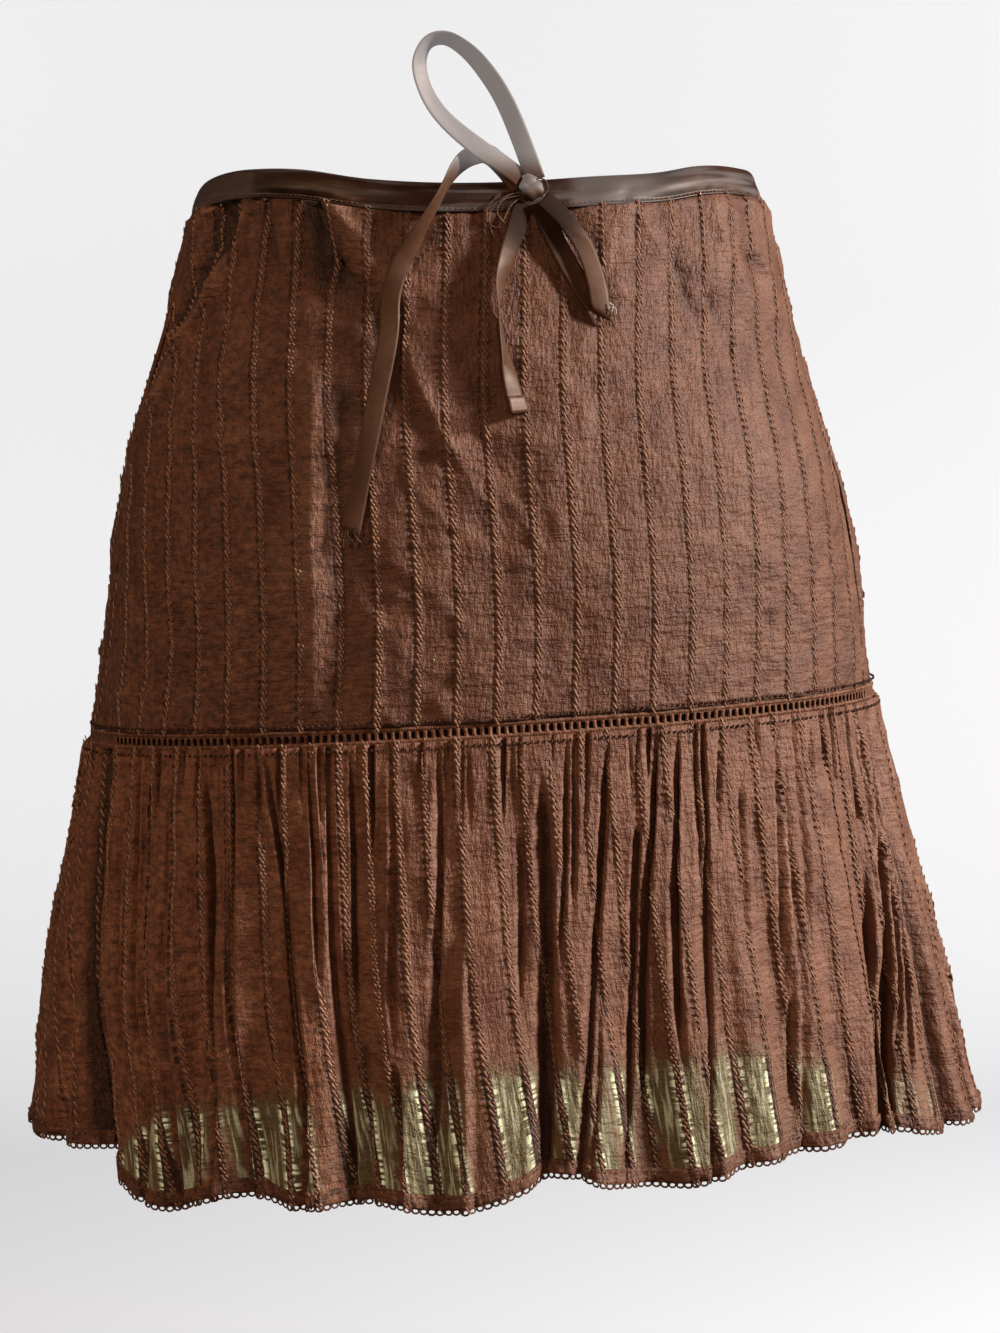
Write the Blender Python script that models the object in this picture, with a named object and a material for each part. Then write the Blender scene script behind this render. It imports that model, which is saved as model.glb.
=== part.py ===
"""Tiered ruffle skirt in ribbed cotton, standing open and hollow as it is worn.

The skirt is built from rings.  A ring is a flattened round outline whose half
width and depths come from the table BODY, at a height below the waist.  Each
sewn piece is a wall between two heights on those rings: its outer points are
moved out for ribs, gathers and folds, and its inner points lie a cloth's
thickness behind.  The front faces -Y, +X is to its right as you look at it,
and the origin is the middle of the waist.
"""

import math
from collections import namedtuple

import bmesh
import bpy
import numpy as np

MM = 0.001

# ---------------------------------------------------------------- sizes
SEAM_GAP = 0.3 * MM
COTTON = 1.2 * MM
RUFFLE_COTTON = 1.1 * MM
LINING_CLOTH = 1.0 * MM
RING_POWER = 2.2            # 2 is an ellipse, more is squarer

BINDING_HEIGHT = 14 * MM
BINDING_OUT = 0.3 * MM      # proud of the cotton outside
BINDING_IN = 3.3 * MM       # reach inside, over cotton and lining

INSERTION_TOP = -0.2565
INSERTION_HEIGHT = 8 * MM
INSERTION_CLOTH = 1.2 * MM
INSERTION_TILT = 4 * MM     # higher on the right side than on the left

HEM = -0.4622               # ruffle's lower edge, before the table HEM_LIFT
EDGING_HEIGHT = 4 * MM
EDGING_CLOTH = 1.0 * MM
LINING_HEM = -0.418

RIB_PITCH = 18 * MM
RIB_WIDTH = 4.6 * MM
RIB_RISE = 0.8 * MM
RIB_SHIFT = 0.3 * MM        # the first rib right of the front centre

COLUMNS_PER_GATHER = 3      # ruffle columns, counted round the skirt
GATHER_DEPTH = 2.0 * MM     # half of a gather's swing at the insertion
GATHER_UNEVEN = 0.35        # share by which that swing differs from gather to gather
UNEVEN_EVERY = (17, 57)     # columns over which the difference comes round
GATHER_WANDER = 0.9         # radians by which gathers crowd and spread
GATHER_WANDER_EVERY = 36
GATHER_FADE = 2.2           # power with which gathers die out going down
GATHERS_PER_WAVE = 3.4      # gathers that merge into one of the wider waves below
WAVE_DEPTH = 3.0 * MM       # half of the swing of those waves
WAVE_WANDER = 0.8
WAVE_WANDER_EVERY = 103
WAVE_AT_HEM = 0.2           # share of it left at the hem

RIBBON_WIDTH = 9 * MM
RIBBON_THICK = 1 * MM
FACETS_PER_STOP = 3
KNOT_WIDTH = 12 * MM
KNOT_HEIGHT = 10 * MM
KNOT_DEPTH = 5.6 * MM

RING_SAMPLES = 2881

# ---------------------------------------------------------------- tables
Section = namedtuple("Section", "z half_width front back middle")
BODY = (
    Section(0.000, 0.1365, 0.098, 0.104, 0.0000),
    Section(-0.0285, 0.1445, 0.105, 0.112, 0.0000),
    Section(-0.0585, 0.1520, 0.111, 0.119, -0.0015),
    Section(-0.1085, 0.1670, 0.121, 0.131, -0.0045),
    Section(-0.1585, 0.1805, 0.129, 0.140, -0.0030),
    Section(-0.2085, 0.1873, 0.134, 0.145, -0.0020),
    Section(-0.2655, 0.1950, 0.139, 0.148, -0.0055),
    Section(-0.3160, 0.2070, 0.149, 0.156, -0.0055),
    Section(-0.3770, 0.2224, 0.162, 0.170, -0.0055),
    Section(-0.4285, 0.2308, 0.173, 0.180, -0.0035),
    Section(-0.4750, 0.2415, 0.184, 0.191, -0.0025),
)

Seam = namedtuple("Seam", "z left right")      # side seams, degrees
SEAMS = (
    Seam(0.000, -82.0, 82.0),
    Seam(-0.100, -76.0, 78.0),
    Seam(-0.265, -68.0, 70.0),
    Seam(-0.370, -60.5, 65.0),
    Seam(-0.475, -51.5, 61.0),
)

RuffleCloth = namedtuple("RuffleCloth", "ribs columns_per_rib")
RUFFLE_CLOTHS = {
    "front": RuffleCloth(32, 5),
    "back": RuffleCloth(48, 4),
}

Inset = namedtuple("Inset", "z inset")         # lining behind the skirt's outside
LINING_INSETS = (
    Inset(0.000, 2.1 * MM),
    Inset(-0.028, 4.0 * MM),
    Inset(-0.070, 5.4 * MM),
    Inset(-0.200, 4.8 * MM),
    Inset(-0.262, 9.0 * MM),
    Inset(-0.316, 21.0 * MM),
    Inset(-0.377, 36.0 * MM),
    Inset(-0.425, 46.0 * MM),
)

Lift = namedtuple("Lift", "angle lift")        # an edge raised or dropped round the skirt
WAIST_LIFT = (
    Lift(-180.0, 0.0),
    Lift(-90.0, 0.0),
    Lift(-52.0, 3 * MM),
    Lift(-36.0, 0.0),
    Lift(-20.0, -7 * MM),
    Lift(0.0, -11 * MM),
    Lift(20.0, -9 * MM),
    Lift(34.0, -7 * MM),
    Lift(46.0, -3 * MM),
    Lift(70.0, -1 * MM),
    Lift(180.0, 0.0),
)
HEM_LIFT = (
    Lift(-180.0, 0.0),
    Lift(-120.0, 4 * MM),
    Lift(-80.0, 10 * MM),
    Lift(-64.0, 13 * MM),
    Lift(-56.0, 12.5 * MM),
    Lift(-50.5, 7 * MM),
    Lift(-45.0, -3 * MM),
    Lift(-39.5, -7.5 * MM),
    Lift(-31.0, 1 * MM),
    Lift(-23.0, -3 * MM),
    Lift(-13.0, -2 * MM),
    Lift(-6.0, -6 * MM),
    Lift(-1.0, 0.0),
    Lift(2.5, 7 * MM),
    Lift(8.0, 2 * MM),
    Lift(15.0, -1 * MM),
    Lift(24.0, 5 * MM),
    Lift(34.0, 8 * MM),
    Lift(46.0, 10 * MM),
    Lift(54.0, 4 * MM),
    Lift(75.0, 0.0),
    Lift(120.0, -2 * MM),
    Lift(180.0, 0.0),
)

# Soft diagonal drags in the upper tier: from, to (degrees round and height),
# half width and depth; a trough is negative.
DRAG_AT_END = 0.4           # share of its depth that a drag has left at its end
Drag = namedtuple("Drag", "angle_from z_from angle_to z_to half_width depth")
DRAGS = (
    Drag(-58.0, -0.016, -64.0, -0.120, 12 * MM, -1.8 * MM),
    Drag(-44.0, -0.016, -50.0, -0.075, 7 * MM, -1.8 * MM),
    Drag(-34.0, -0.016, -16.0, -0.125, 9 * MM, -1.6 * MM),
    Drag(-12.0, -0.080, 4.0, -0.165, 9 * MM, -1.5 * MM),
    Drag(36.0, -0.020, 30.0, -0.120, 10 * MM, -1.3 * MM),
    Drag(58.0, -0.020, 62.0, -0.130, 8 * MM, -1.6 * MM),
    Drag(130.0, -0.016, 140.0, -0.110, 10 * MM, -2.0 * MM),
    Drag(172.0, -0.020, 186.0, -0.130, 10 * MM, -1.8 * MM),
    Drag(228.0, -0.016, 222.0, -0.100, 9 * MM, -2.2 * MM),
)

# The deepest folds, which run down the ruffle along its side seams: half width
# and depth at the hem, and where each starts (0 at the insertion, 1 at the hem).
SideFold = namedtuple("SideFold", "seam half_width depth start")
SIDE_FOLDS = (
    SideFold("left", 10.5 * MM, 24 * MM, -0.30),
    SideFold("right", 10 * MM, 20 * MM, -0.25),
)

# Troughs between them: where each lies at the hem (degrees), how it leans
# going up, and the rest as above.
Trough = namedtuple("Trough", "angle lean half_width depth start")
TROUGHS = (
    Trough(-64.0, -3.0, 7 * MM, 8 * MM, 0.35),
    Trough(-37.5, 1.5, 9 * MM, 10 * MM, 0.00),
    Trough(-27.0, 1.0, 12 * MM, 8 * MM, 0.10),
    Trough(-15.5, -1.0, 10 * MM, 10 * MM, 0.05),
    Trough(-7.0, 0.0, 7 * MM, 6 * MM, 0.30),
    Trough(3.0, -1.5, 7 * MM, 7 * MM, 0.00),
    Trough(12.5, 0.5, 12 * MM, 14 * MM, 0.15),
    Trough(23.5, 1.0, 7 * MM, 6 * MM, 0.20),
    Trough(31.0, 1.5, 9 * MM, 9 * MM, 0.05),
    Trough(40.0, 1.0, 9 * MM, 7 * MM, 0.30),
    Trough(49.0, 2.0, 8 * MM, 8 * MM, 0.10),
    Trough(73.0, 0.0, 9 * MM, 8 * MM, 0.10),
    Trough(84.0, 1.0, 11 * MM, 10 * MM, 0.00),
    Trough(97.0, -1.0, 9 * MM, 8 * MM, 0.20),
    Trough(109.0, 0.0, 11 * MM, 13 * MM, 0.05),
    Trough(122.0, 1.0, 9 * MM, 8 * MM, 0.25),
    Trough(133.0, 0.0, 10 * MM, 11 * MM, 0.00),
    Trough(146.0, -1.0, 8 * MM, 7 * MM, 0.30),
    Trough(157.0, 1.0, 12 * MM, 13 * MM, 0.05),
    Trough(170.0, 0.0, 8 * MM, 8 * MM, 0.20),
    Trough(181.0, 1.0, 11 * MM, 11 * MM, 0.00),
    Trough(194.0, -1.0, 9 * MM, 7 * MM, 0.30),
    Trough(205.0, 0.0, 11 * MM, 13 * MM, 0.10),
    Trough(218.0, 1.0, 9 * MM, 9 * MM, 0.00),
    Trough(230.0, 0.0, 10 * MM, 11 * MM, 0.20),
    Trough(243.0, -1.0, 8 * MM, 7 * MM, 0.10),
    Trough(254.0, 0.0, 11 * MM, 12 * MM, 0.00),
    Trough(267.0, 1.0, 9 * MM, 8 * MM, 0.25),
    Trough(279.0, 0.0, 9 * MM, 9 * MM, 0.05),
)

# The ribbon's runs, down the middle of the strip: across, height and distance
# in front of the cloth (mm), the slant of its width in the front view and the
# turn of its face away from the front (degrees).
Stop = namedtuple("Stop", "across height clear slant turn")
RIBBONS = {
    "ribbon_loop_up": (
        Stop(22.4, -9.7, 4.9, 20, 5),
        Stop(17.4, 7.3, 5.4, 22, 15),
        Stop(10.8, 24.2, 6.0, 24, 25),
        Stop(3.6, 36.9, 6.5, 30, 32),
        Stop(-5.1, 47.5, 7.0, 42, 42),
        Stop(-14.6, 53.6, 8.0, 64, 55),
        Stop(-22.7, 51.6, 9.0, 110, 60),
        Stop(-26.5, 41.9, 9.5, 165, 52),
        Stop(-23.5, 28.7, 9.5, 198, 42),
        Stop(-15.6, 16.4, 8.8, 220, 30),
        Stop(-1.2, 3.4, 7.0, 230, 12),
        Stop(8.0, -4.2, 4.9, 232, 4),
        Stop(16.8, -11.1, 3.3, 232, 0),
    ),
    "ribbon_tail_long": (
        Stop(15.9, -14.6, 1.4, 40, 0),
        Stop(9.0, -5.0, 1.5, 44, 0),
        Stop(2.0, 1.7, 1.6, 66, 4),
        Stop(-5.9, 0.3, 2.4, 120, 18),
        Stop(-12.0, -5.7, 4.4, 138, 50),
        Stop(-17.3, -14.0, 5.8, 150, 80),
        Stop(-21.6, -21.6, 5.2, 152, 58),
        Stop(-26.5, -29.2, 4.0, 152, 32),
        Stop(-31.4, -36.8, 3.0, 152, 14),
        Stop(-39.1, -48.4, 2.3, 156, 4),
        Stop(-44.2, -62.4, 2.2, 166, 0),
        Stop(-46.2, -81.4, 2.2, 171, 0),
        Stop(-52.4, -108.6, 2.2, 166, 0),
        Stop(-58.6, -134.8, 2.2, 166, 0),
        Stop(-66.9, -170.2, 2.2, 164, 0),
    ),
    "ribbon_tail_short": (
        Stop(18.2, -22.3, 1.9, 150, 0),
        Stop(15.7, -27.7, 2.1, 156, 5),
        Stop(12.4, -37.4, 3.2, 161, 18),
        Stop(8.2, -48.9, 4.6, 163, 38),
        Stop(4.8, -60.9, 5.8, 170, 64),
        Stop(4.1, -71.9, 6.1, 180, 84),
        Stop(4.7, -82.4, 5.9, 185, 75),
        Stop(6.1, -92.9, 5.5, 188, 60),
        Stop(7.9, -103.9, 4.6, 190, 38),
        Stop(10.8, -118.9, 4.1, 191, 30),
    ),
    "ribbon_loop_down": (
        Stop(26.4, -21.2, 5.0, 224, 0),
        Stop(32.4, -27.5, 5.4, 221, 4),
        Stop(38.7, -36.0, 5.8, 212, 6),
        Stop(43.6, -44.9, 6.0, 203, 6),
        Stop(46.7, -54.7, 6.1, 195, 4),
        Stop(48.5, -63.9, 6.1, 186, 0),
        Stop(49.2, -70.8, 5.9, 172, 0),
        Stop(50.1, -74.4, 5.4, 158, 0),
        Stop(50.5, -76.1, 4.1, 152, 0),
        Stop(49.7, -74.6, 2.9, 158, 0),
        Stop(47.0, -70.2, 2.5, 184, 0),
        Stop(40.6, -58.4, 2.5, 206, 0),
        Stop(35.1, -47.7, 2.6, 207, 0),
        Stop(29.7, -36.5, 2.9, 205, 0),
        Stop(24.4, -22.6, 3.5, 195, 0),
    ),
}
KNOT = Stop(21.5, -16.3, 3.4, 0, 0)

# ---------------------------------------------------------------- curves


def smooth(rows, key, column, at):
    """A column of a table at `at`, on a smooth curve through its rows."""
    pairs = sorted((getattr(row, key), getattr(row, column)) for row in rows)
    x, y = (np.array(values) for values in zip(*pairs))
    slope = np.gradient(y, x)
    at = np.clip(at, x[0], x[-1])
    i = np.clip(np.searchsorted(x, at) - 1, 0, len(x) - 2)
    step = x[i + 1] - x[i]
    t = (at - x[i]) / step
    return ((1 + 2 * t) * (1 - t) ** 2 * y[i] + t * (1 - t) ** 2 * step * slope[i]
            + t * t * (3 - 2 * t) * y[i + 1] + t * t * (t - 1) * step * slope[i + 1])


def bump(distance, half_width):
    """1 on the line, falling to nearly 0 at twice the half width."""
    return np.exp(-(distance / half_width) ** 2)


def round_difference(angle, other):
    """Signed degrees between two directions, the short way round."""
    return (angle - other + 180.0) % 360.0 - 180.0


# ---------------------------------------------------------------- rings
Ring = namedtuple("Ring", "angle arc points outward")


def waist_line(angle):
    """Height of the waist's upper edge."""
    return smooth(WAIST_LIFT, "angle", "lift", round_difference(angle, 0.0))


def insertion_line(angle):
    """Height of the ladder insertion's upper edge."""
    return INSERTION_TOP + INSERTION_TILT * np.sin(np.radians(angle))


def hem_line(angle):
    """Height of the ruffle's lower edge."""
    return HEM + smooth(HEM_LIFT, "angle", "lift", round_difference(angle, 0.0))


def lining_line(angle):
    """Height of the lining's lower edge."""
    return np.full_like(angle, LINING_HEM)


def between(upper_line, lower_line, share):
    """The line that lies `share` of the way down between two lines."""
    return lambda angle: (1 - share) * upper_line(angle) + share * lower_line(angle)


def below(line, drop):
    """The line that lies `drop` under another line."""
    return lambda angle: line(angle) - drop


def ring(line, centre):
    """The body's outside along a line of heights, with arcs from `centre` degrees."""
    angle = centre + np.linspace(-180.0, 180.0, RING_SAMPLES)
    z = line(angle)
    turn = np.radians(angle)
    sine, cosine = np.sin(turn), np.cos(turn)
    depth = np.where(cosine > 0, smooth(BODY, "z", "front", z), smooth(BODY, "z", "back", z))
    x = smooth(BODY, "z", "middle", z) + (
        smooth(BODY, "z", "half_width", z) * np.sign(sine) * np.abs(sine) ** (2 / RING_POWER))
    y = -depth * np.sign(cosine) * np.abs(cosine) ** (2 / RING_POWER)
    step = np.hypot(np.diff(x), np.diff(y))
    arc = np.concatenate(([0.0], np.cumsum(step)))
    along = np.stack((np.gradient(x, arc), np.gradient(y, arc)))
    along /= np.hypot(*along)
    outward = np.stack((along[1], -along[0], np.zeros_like(z)))
    return Ring(angle, arc - arc[RING_SAMPLES // 2], np.stack((x, y, z)), outward)


def at_arcs(ring_values, arcs, values):
    """Values along a ring, read at the given arcs."""
    return np.stack([np.interp(arcs, ring_values.arc, row) for row in values])


def seam_arcs(outline, z, panel):
    """Where a panel starts and ends on a ring, short of the seams by half a gap."""
    left = smooth(SEAMS, "z", "left", z)
    right = smooth(SEAMS, "z", "right", z)
    first, last = (left, right) if panel == "front" else (right, left + 360.0)
    arcs = np.interp((first, last), outline.angle, outline.arc)
    return arcs[0] + SEAM_GAP / 2, arcs[1] - SEAM_GAP / 2


# ---------------------------------------------------------------- walls
PANEL_CENTRES = {"front": 0.0, "back": 180.0}


def zip_rows(mesh, upper, lower):
    """Triangles between two rows of (key, vertex), each sorted by its key."""
    i = j = 0
    while i < len(upper) - 1 or j < len(lower) - 1:
        along_upper = j == len(lower) - 1 or (
            i < len(upper) - 1 and upper[i][0] + upper[i + 1][0] <= lower[j][0] + lower[j + 1][0])
        corners = [upper[i][1], lower[j][1]]
        if along_upper:
            i += 1
            corners.append(upper[i][1])
        else:
            j += 1
            corners.append(lower[j][1])
        mesh.faces.new(corners)


def build_wall(name, outer, inner, material, closed=False):
    """A closed wall from rows of (keys, points), top to bottom, outside and inside."""
    mesh = bmesh.new()

    def add_rows(rows):
        added = []
        for keys, points in rows:
            row = [(key, mesh.verts.new(point)) for key, point in zip(keys, points.T)]
            if closed:
                row.append((math.inf, row[0][1]))
            added.append(row)
        return added

    outer, inner = add_rows(outer), add_rows(inner)
    for upper, lower in zip(outer, outer[1:]):
        zip_rows(mesh, upper, lower)
    for upper, lower in zip(inner, inner[1:]):
        zip_rows(mesh, upper, lower)
        for face in list(mesh.faces)[-(len(upper) + len(lower) - 2):]:
            face.normal_flip()
    zip_rows(mesh, inner[0], outer[0])
    zip_rows(mesh, outer[-1], inner[-1])
    if not closed:
        for k in range(len(outer) - 1):
            first = [row[0][1] for row in (inner[k], inner[k + 1], outer[k + 1], outer[k])]
            last = [row[-1][1] for row in (outer[k], outer[k + 1], inner[k + 1], inner[k])]
            mesh.faces.new(first)
            mesh.faces.new(last)
    bmesh.ops.triangulate(mesh, faces=[face for face in mesh.faces if len(face.verts) > 3])
    return add_object(name, mesh, material)


def add_object(name, mesh, material):
    data = bpy.data.meshes.new(name)
    mesh.to_mesh(data)
    mesh.free()
    data.shade_smooth()
    data.set_sharp_from_angle(angle=math.radians(50))
    data.materials.append(material)
    piece = bpy.data.objects.new(name, data)
    bpy.context.scene.collection.objects.link(piece)
    return piece


def make_material(name, colour, roughness):
    material = bpy.data.materials.new(name)
    material.use_nodes = True
    shader = material.node_tree.nodes["Principled BSDF"]
    shader.inputs["Base Color"].default_value = (*colour, 1.0)
    shader.inputs["Roughness"].default_value = roughness
    shader.inputs["Metallic"].default_value = 0.0
    return material


# ---------------------------------------------------------------- upper tier
UPPER_ROWS = (0.0, 0.06, 0.16, 0.30, 0.46, 0.62, 0.78, 0.92, 1.0)


def drags(angle, points):
    """How far the upper tier is pulled in or out at points on its rings."""
    total = np.zeros_like(angle)
    radius = np.hypot(points[0], points[1])
    for drag in DRAGS:
        down = (points[2] - drag.z_from) / (drag.z_to - drag.z_from)
        share = np.clip(down, 0.0, 1.0)
        middle = drag.angle_from + share * (drag.angle_to - drag.angle_from)
        across = np.radians(round_difference(angle, middle)) * radius
        past = np.maximum(drag.z_to - points[2], 0.0)
        left = (1 - share * (1 - DRAG_AT_END)) * bump(past, 2 * drag.half_width)
        total += drag.depth * bump(across, drag.half_width) * left
    return total


def rib_arcs(start, end, phase):
    """Arcs of the parallel ribs between two seams, clear of both."""
    first = math.ceil((start + RIB_WIDTH - phase) / RIB_PITCH)
    last = math.floor((end - RIB_WIDTH - phase) / RIB_PITCH)
    return phase + RIB_PITCH * np.arange(first, last + 1)


def moved(outline, arcs, out):
    """Points of a ring at arcs, moved straight out by `out`."""
    return at_arcs(outline, arcs, outline.points) + at_arcs(outline, arcs, outline.outward) * out


def upper_panel(panel, material):
    top = below(waist_line, BINDING_HEIGHT + SEAM_GAP)
    bottom = below(insertion_line, -SEAM_GAP)
    phase = RIB_SHIFT if panel == "front" else 0.0
    outer, inner = [], []
    for share in UPPER_ROWS:
        outline = ring(between(top, bottom, share), PANEL_CENTRES[panel])
        start, end = seam_arcs(outline, outline.points[2].mean(), panel)
        ribs = rib_arcs(start, end, phase)
        across_rib = RIB_WIDTH / 2 * np.array((-1, 0, 1))
        ridge = np.concatenate(([start], (ribs[:, None] + across_rib).ravel(), [end]))
        rise = np.concatenate(([0.0], np.tile((0.0, RIB_RISE, 0.0), len(ribs)), [0.0]))
        plain = np.concatenate(([start], ribs, [end]))
        for rows, arcs, out in ((outer, ridge, rise), (inner, plain, -COTTON)):
            angle = np.interp(arcs, outline.arc, outline.angle)
            pull = drags(angle, at_arcs(outline, arcs, outline.points))
            rows.append((arcs, moved(outline, arcs, out + pull)))
    build_wall(f"upper_{panel}", outer, inner, material)


# ---------------------------------------------------------------- binding, insertion, lining
RingRow = namedtuple("RingRow", "drop outer inner")
BINDING_ROWS = (
    RingRow(0.0, -0.6 * MM, -BINDING_IN + 0.8 * MM),
    RingRow(1.2 * MM, BINDING_OUT, -BINDING_IN),
    RingRow(12.6 * MM, BINDING_OUT, -BINDING_IN),
    RingRow(BINDING_HEIGHT, 0.0, -BINDING_IN),
)
RING_COLUMNS = 60


def full_circle(outline, count):
    """Equally spaced arcs round a whole ring."""
    span = outline.arc[-1] - outline.arc[0]
    return outline.arc[0] + span * np.arange(count) / count


def waist_binding(material):
    outer, inner = [], []
    for row in BINDING_ROWS:
        outline = ring(below(waist_line, row.drop), 0.0)
        arcs = full_circle(outline, RING_COLUMNS)
        outer.append((arcs, moved(outline, arcs, row.outer)))
        inner.append((arcs, moved(outline, arcs, row.inner)))
    build_wall("waist_binding", outer, inner, material, closed=True)


def ladder_insertion(panel, material):
    outer, inner = [], []
    for drop in (0.0, INSERTION_HEIGHT):
        outline = ring(below(insertion_line, drop), PANEL_CENTRES[panel])
        start, end = seam_arcs(outline, INSERTION_TOP, panel)
        arcs = np.linspace(start, end, round((end - start) / RIB_PITCH) + 1)
        outer.append((arcs, moved(outline, arcs, 0.0)))
        inner.append((arcs, moved(outline, arcs, -INSERTION_CLOTH)))
    build_wall(f"ladder_{panel}", outer, inner, material)


LINING_ROWS = (0.0, 0.06, 0.17, 0.45, 1.0)
LINING_COLUMNS = {"front": 26, "back": 36}


def lining(panel, material):
    top = below(waist_line, BINDING_HEIGHT + SEAM_GAP)
    outer, inner = [], []
    for share in LINING_ROWS:
        outline = ring(between(top, lining_line, share), PANEL_CENTRES[panel])
        start, end = seam_arcs(outline, outline.points[2].mean(), panel)
        arcs = np.linspace(start, end, LINING_COLUMNS[panel] + 1)
        points = at_arcs(outline, arcs, outline.points)
        pull = drags(np.interp(arcs, outline.arc, outline.angle), points)
        inset = smooth(LINING_INSETS, "z", "inset", points[2])
        outer.append((arcs, moved(outline, arcs, pull - inset)))
        inner.append((arcs, moved(outline, arcs, pull - inset - LINING_CLOTH)))
    build_wall(f"lining_{panel}", outer, inner, material)


# ---------------------------------------------------------------- ruffle
RUFFLE_ROWS = (0.0, 0.07, 0.22, 0.46, 0.74, 1.0)
CLOTH_STEP = 0.25 * MM      # steps along the cloth when its length is measured
MARGIN = 20 * MM


def troughs(angle, points, share):
    """How far the ruffle is folded in below the insertion."""
    total = np.zeros_like(angle)
    radius = np.hypot(points[0], points[1])
    lines = [(fold, smooth(SEAMS, "z", fold.seam, points[2])) for fold in SIDE_FOLDS]
    lines += [(trough, trough.angle + trough.lean * (1 - share)) for trough in TROUGHS]
    for trough, middle in lines:
        grown = np.clip((share - trough.start) / (1 - trough.start), 0.0, 1.0)
        across = np.radians(round_difference(angle, middle)) * radius
        total -= trough.depth * grown ** 0.8 * bump(across, trough.half_width)
    return total


def swing(column, period, start=0.0):
    """A swing between -1 and 1, once every `period` columns."""
    return np.sin(2 * math.pi * column / period + start)


def gathers(column, share):
    """Fine gathers at the insertion, merging into fewer, wider waves below."""
    short, long = UNEVEN_EVERY
    uneven = 1 + GATHER_UNEVEN * swing(column, short) * swing(column, long, math.pi / 2)
    crowding = GATHER_WANDER * swing(column, GATHER_WANDER_EVERY) + math.pi / 2
    fine = GATHER_DEPTH * uneven * swing(column, COLUMNS_PER_GATHER, crowding)
    crowding = WAVE_WANDER * swing(column, WAVE_WANDER_EVERY)
    wide = WAVE_DEPTH * swing(column, GATHERS_PER_WAVE * COLUMNS_PER_GATHER, crowding)
    return fine * (1 - share) ** GATHER_FADE + wide * share * (4 * (1 - share) + WAVE_AT_HEM)


def outward_of_row(points):
    """Level normals of a row of points that runs counter-clockwise from above."""
    along = np.gradient(points[:2], axis=1)
    along /= np.hypot(*along)
    return np.stack((along[1], -along[0], np.zeros(points.shape[1])))


def ruffle_row(panel, share):
    """Columns, outer points without ribs, and outward directions of one ruffle row."""
    top = below(insertion_line, INSERTION_HEIGHT + SEAM_GAP)
    outline = ring(between(top, hem_line, share), PANEL_CENTRES[panel])
    start, end = seam_arcs(outline, outline.points[2].mean(), panel)
    arcs = np.arange(start - MARGIN, end + MARGIN, CLOTH_STEP)
    angle = np.interp(arcs, outline.arc, outline.angle)
    base = at_arcs(outline, arcs, outline.points)
    folded = moved(outline, arcs, troughs(angle, base, share))
    length = np.concatenate(([0.0], np.cumsum(np.hypot(*np.diff(folded[:2], axis=1)))))
    first, last = np.interp((start, end), arcs, length)
    count = RUFFLE_CLOTHS[panel].ribs * RUFFLE_CLOTHS[panel].columns_per_rib
    columns = np.arange(-1, count + 2)       # one more at each end, for the directions
    along = first + (last - first) * columns / count
    points = np.stack([np.interp(along, length, row) for row in folded])
    free = np.clip(np.minimum(columns, count - columns) / 2, 0.0, 1.0)   # 0 in the seams
    points = points + outward_of_row(points) * gathers(columns, share) * free
    outward = outward_of_row(points)
    return columns[1:-1], points[:, 1:-1], outward[:, 1:-1]


def ruffle(panel, material):
    per_rib = RUFFLE_CLOTHS[panel].columns_per_rib
    outer, inner = [], []
    for share in RUFFLE_ROWS:
        columns, points, outward = ruffle_row(panel, share)
        on_rib = (columns % per_rib == per_rib // 2) * RIB_RISE
        outer.append((columns, points + outward * on_rib))
        inner.append((columns, points - outward * RUFFLE_COTTON))
    build_wall(f"ruffle_{panel}", outer, inner, material)


def hem_edging(panel, material):
    columns, points, outward = (rows[..., ::2] for rows in ruffle_row(panel, 1.0))
    outer, inner = [], []
    for drop in (SEAM_GAP, SEAM_GAP + EDGING_HEIGHT):
        lowered = points - np.array(((0.0,), (0.0,), (drop,)))
        outer.append((columns, lowered))
        inner.append((columns, lowered - outward * EDGING_CLOTH))
    build_wall(f"hem_edging_{panel}", outer, inner, material)


# ---------------------------------------------------------------- ribbon
def front_surface(across, height):
    """Point on the outside of the skirt's front; above the waist it goes straight up."""
    z = min(height, 0.0)
    half_width, front, middle = (
        float(smooth(BODY, "z", column, z)) for column in ("half_width", "front", "middle"))
    share = abs(across - middle) / half_width
    return np.array((across, -front * (1 - share ** RING_POWER) ** (1 / RING_POWER), height))


def front_frame(stop):
    """Point in front of the cloth at a stop, with the directions out, sideways and up."""
    across, height = stop.across * MM, stop.height * MM
    sideways = front_surface(across + MM, height) - front_surface(across - MM, height)
    upright = front_surface(across, height + MM) - front_surface(across, height - MM)
    sideways /= np.linalg.norm(sideways)
    upright /= np.linalg.norm(upright)
    outward = np.cross(sideways, upright)
    outward /= np.linalg.norm(outward)
    return front_surface(across, height) + outward * stop.clear * MM, outward, sideways, upright


def through_stops(values, at):
    """Values at every stop, read on a smooth curve at fractional stop numbers."""
    stops = np.arange(len(values))
    slope = np.gradient(values, axis=0)
    i = np.clip(np.searchsorted(stops, at) - 1, 0, len(values) - 2)
    t = (at - i)[:, None]
    return ((1 + 2 * t) * (1 - t) ** 2 * values[i] + t * (1 - t) ** 2 * slope[i]
            + t * t * (3 - 2 * t) * values[i + 1] + t * t * (t - 1) * slope[i + 1])


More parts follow.
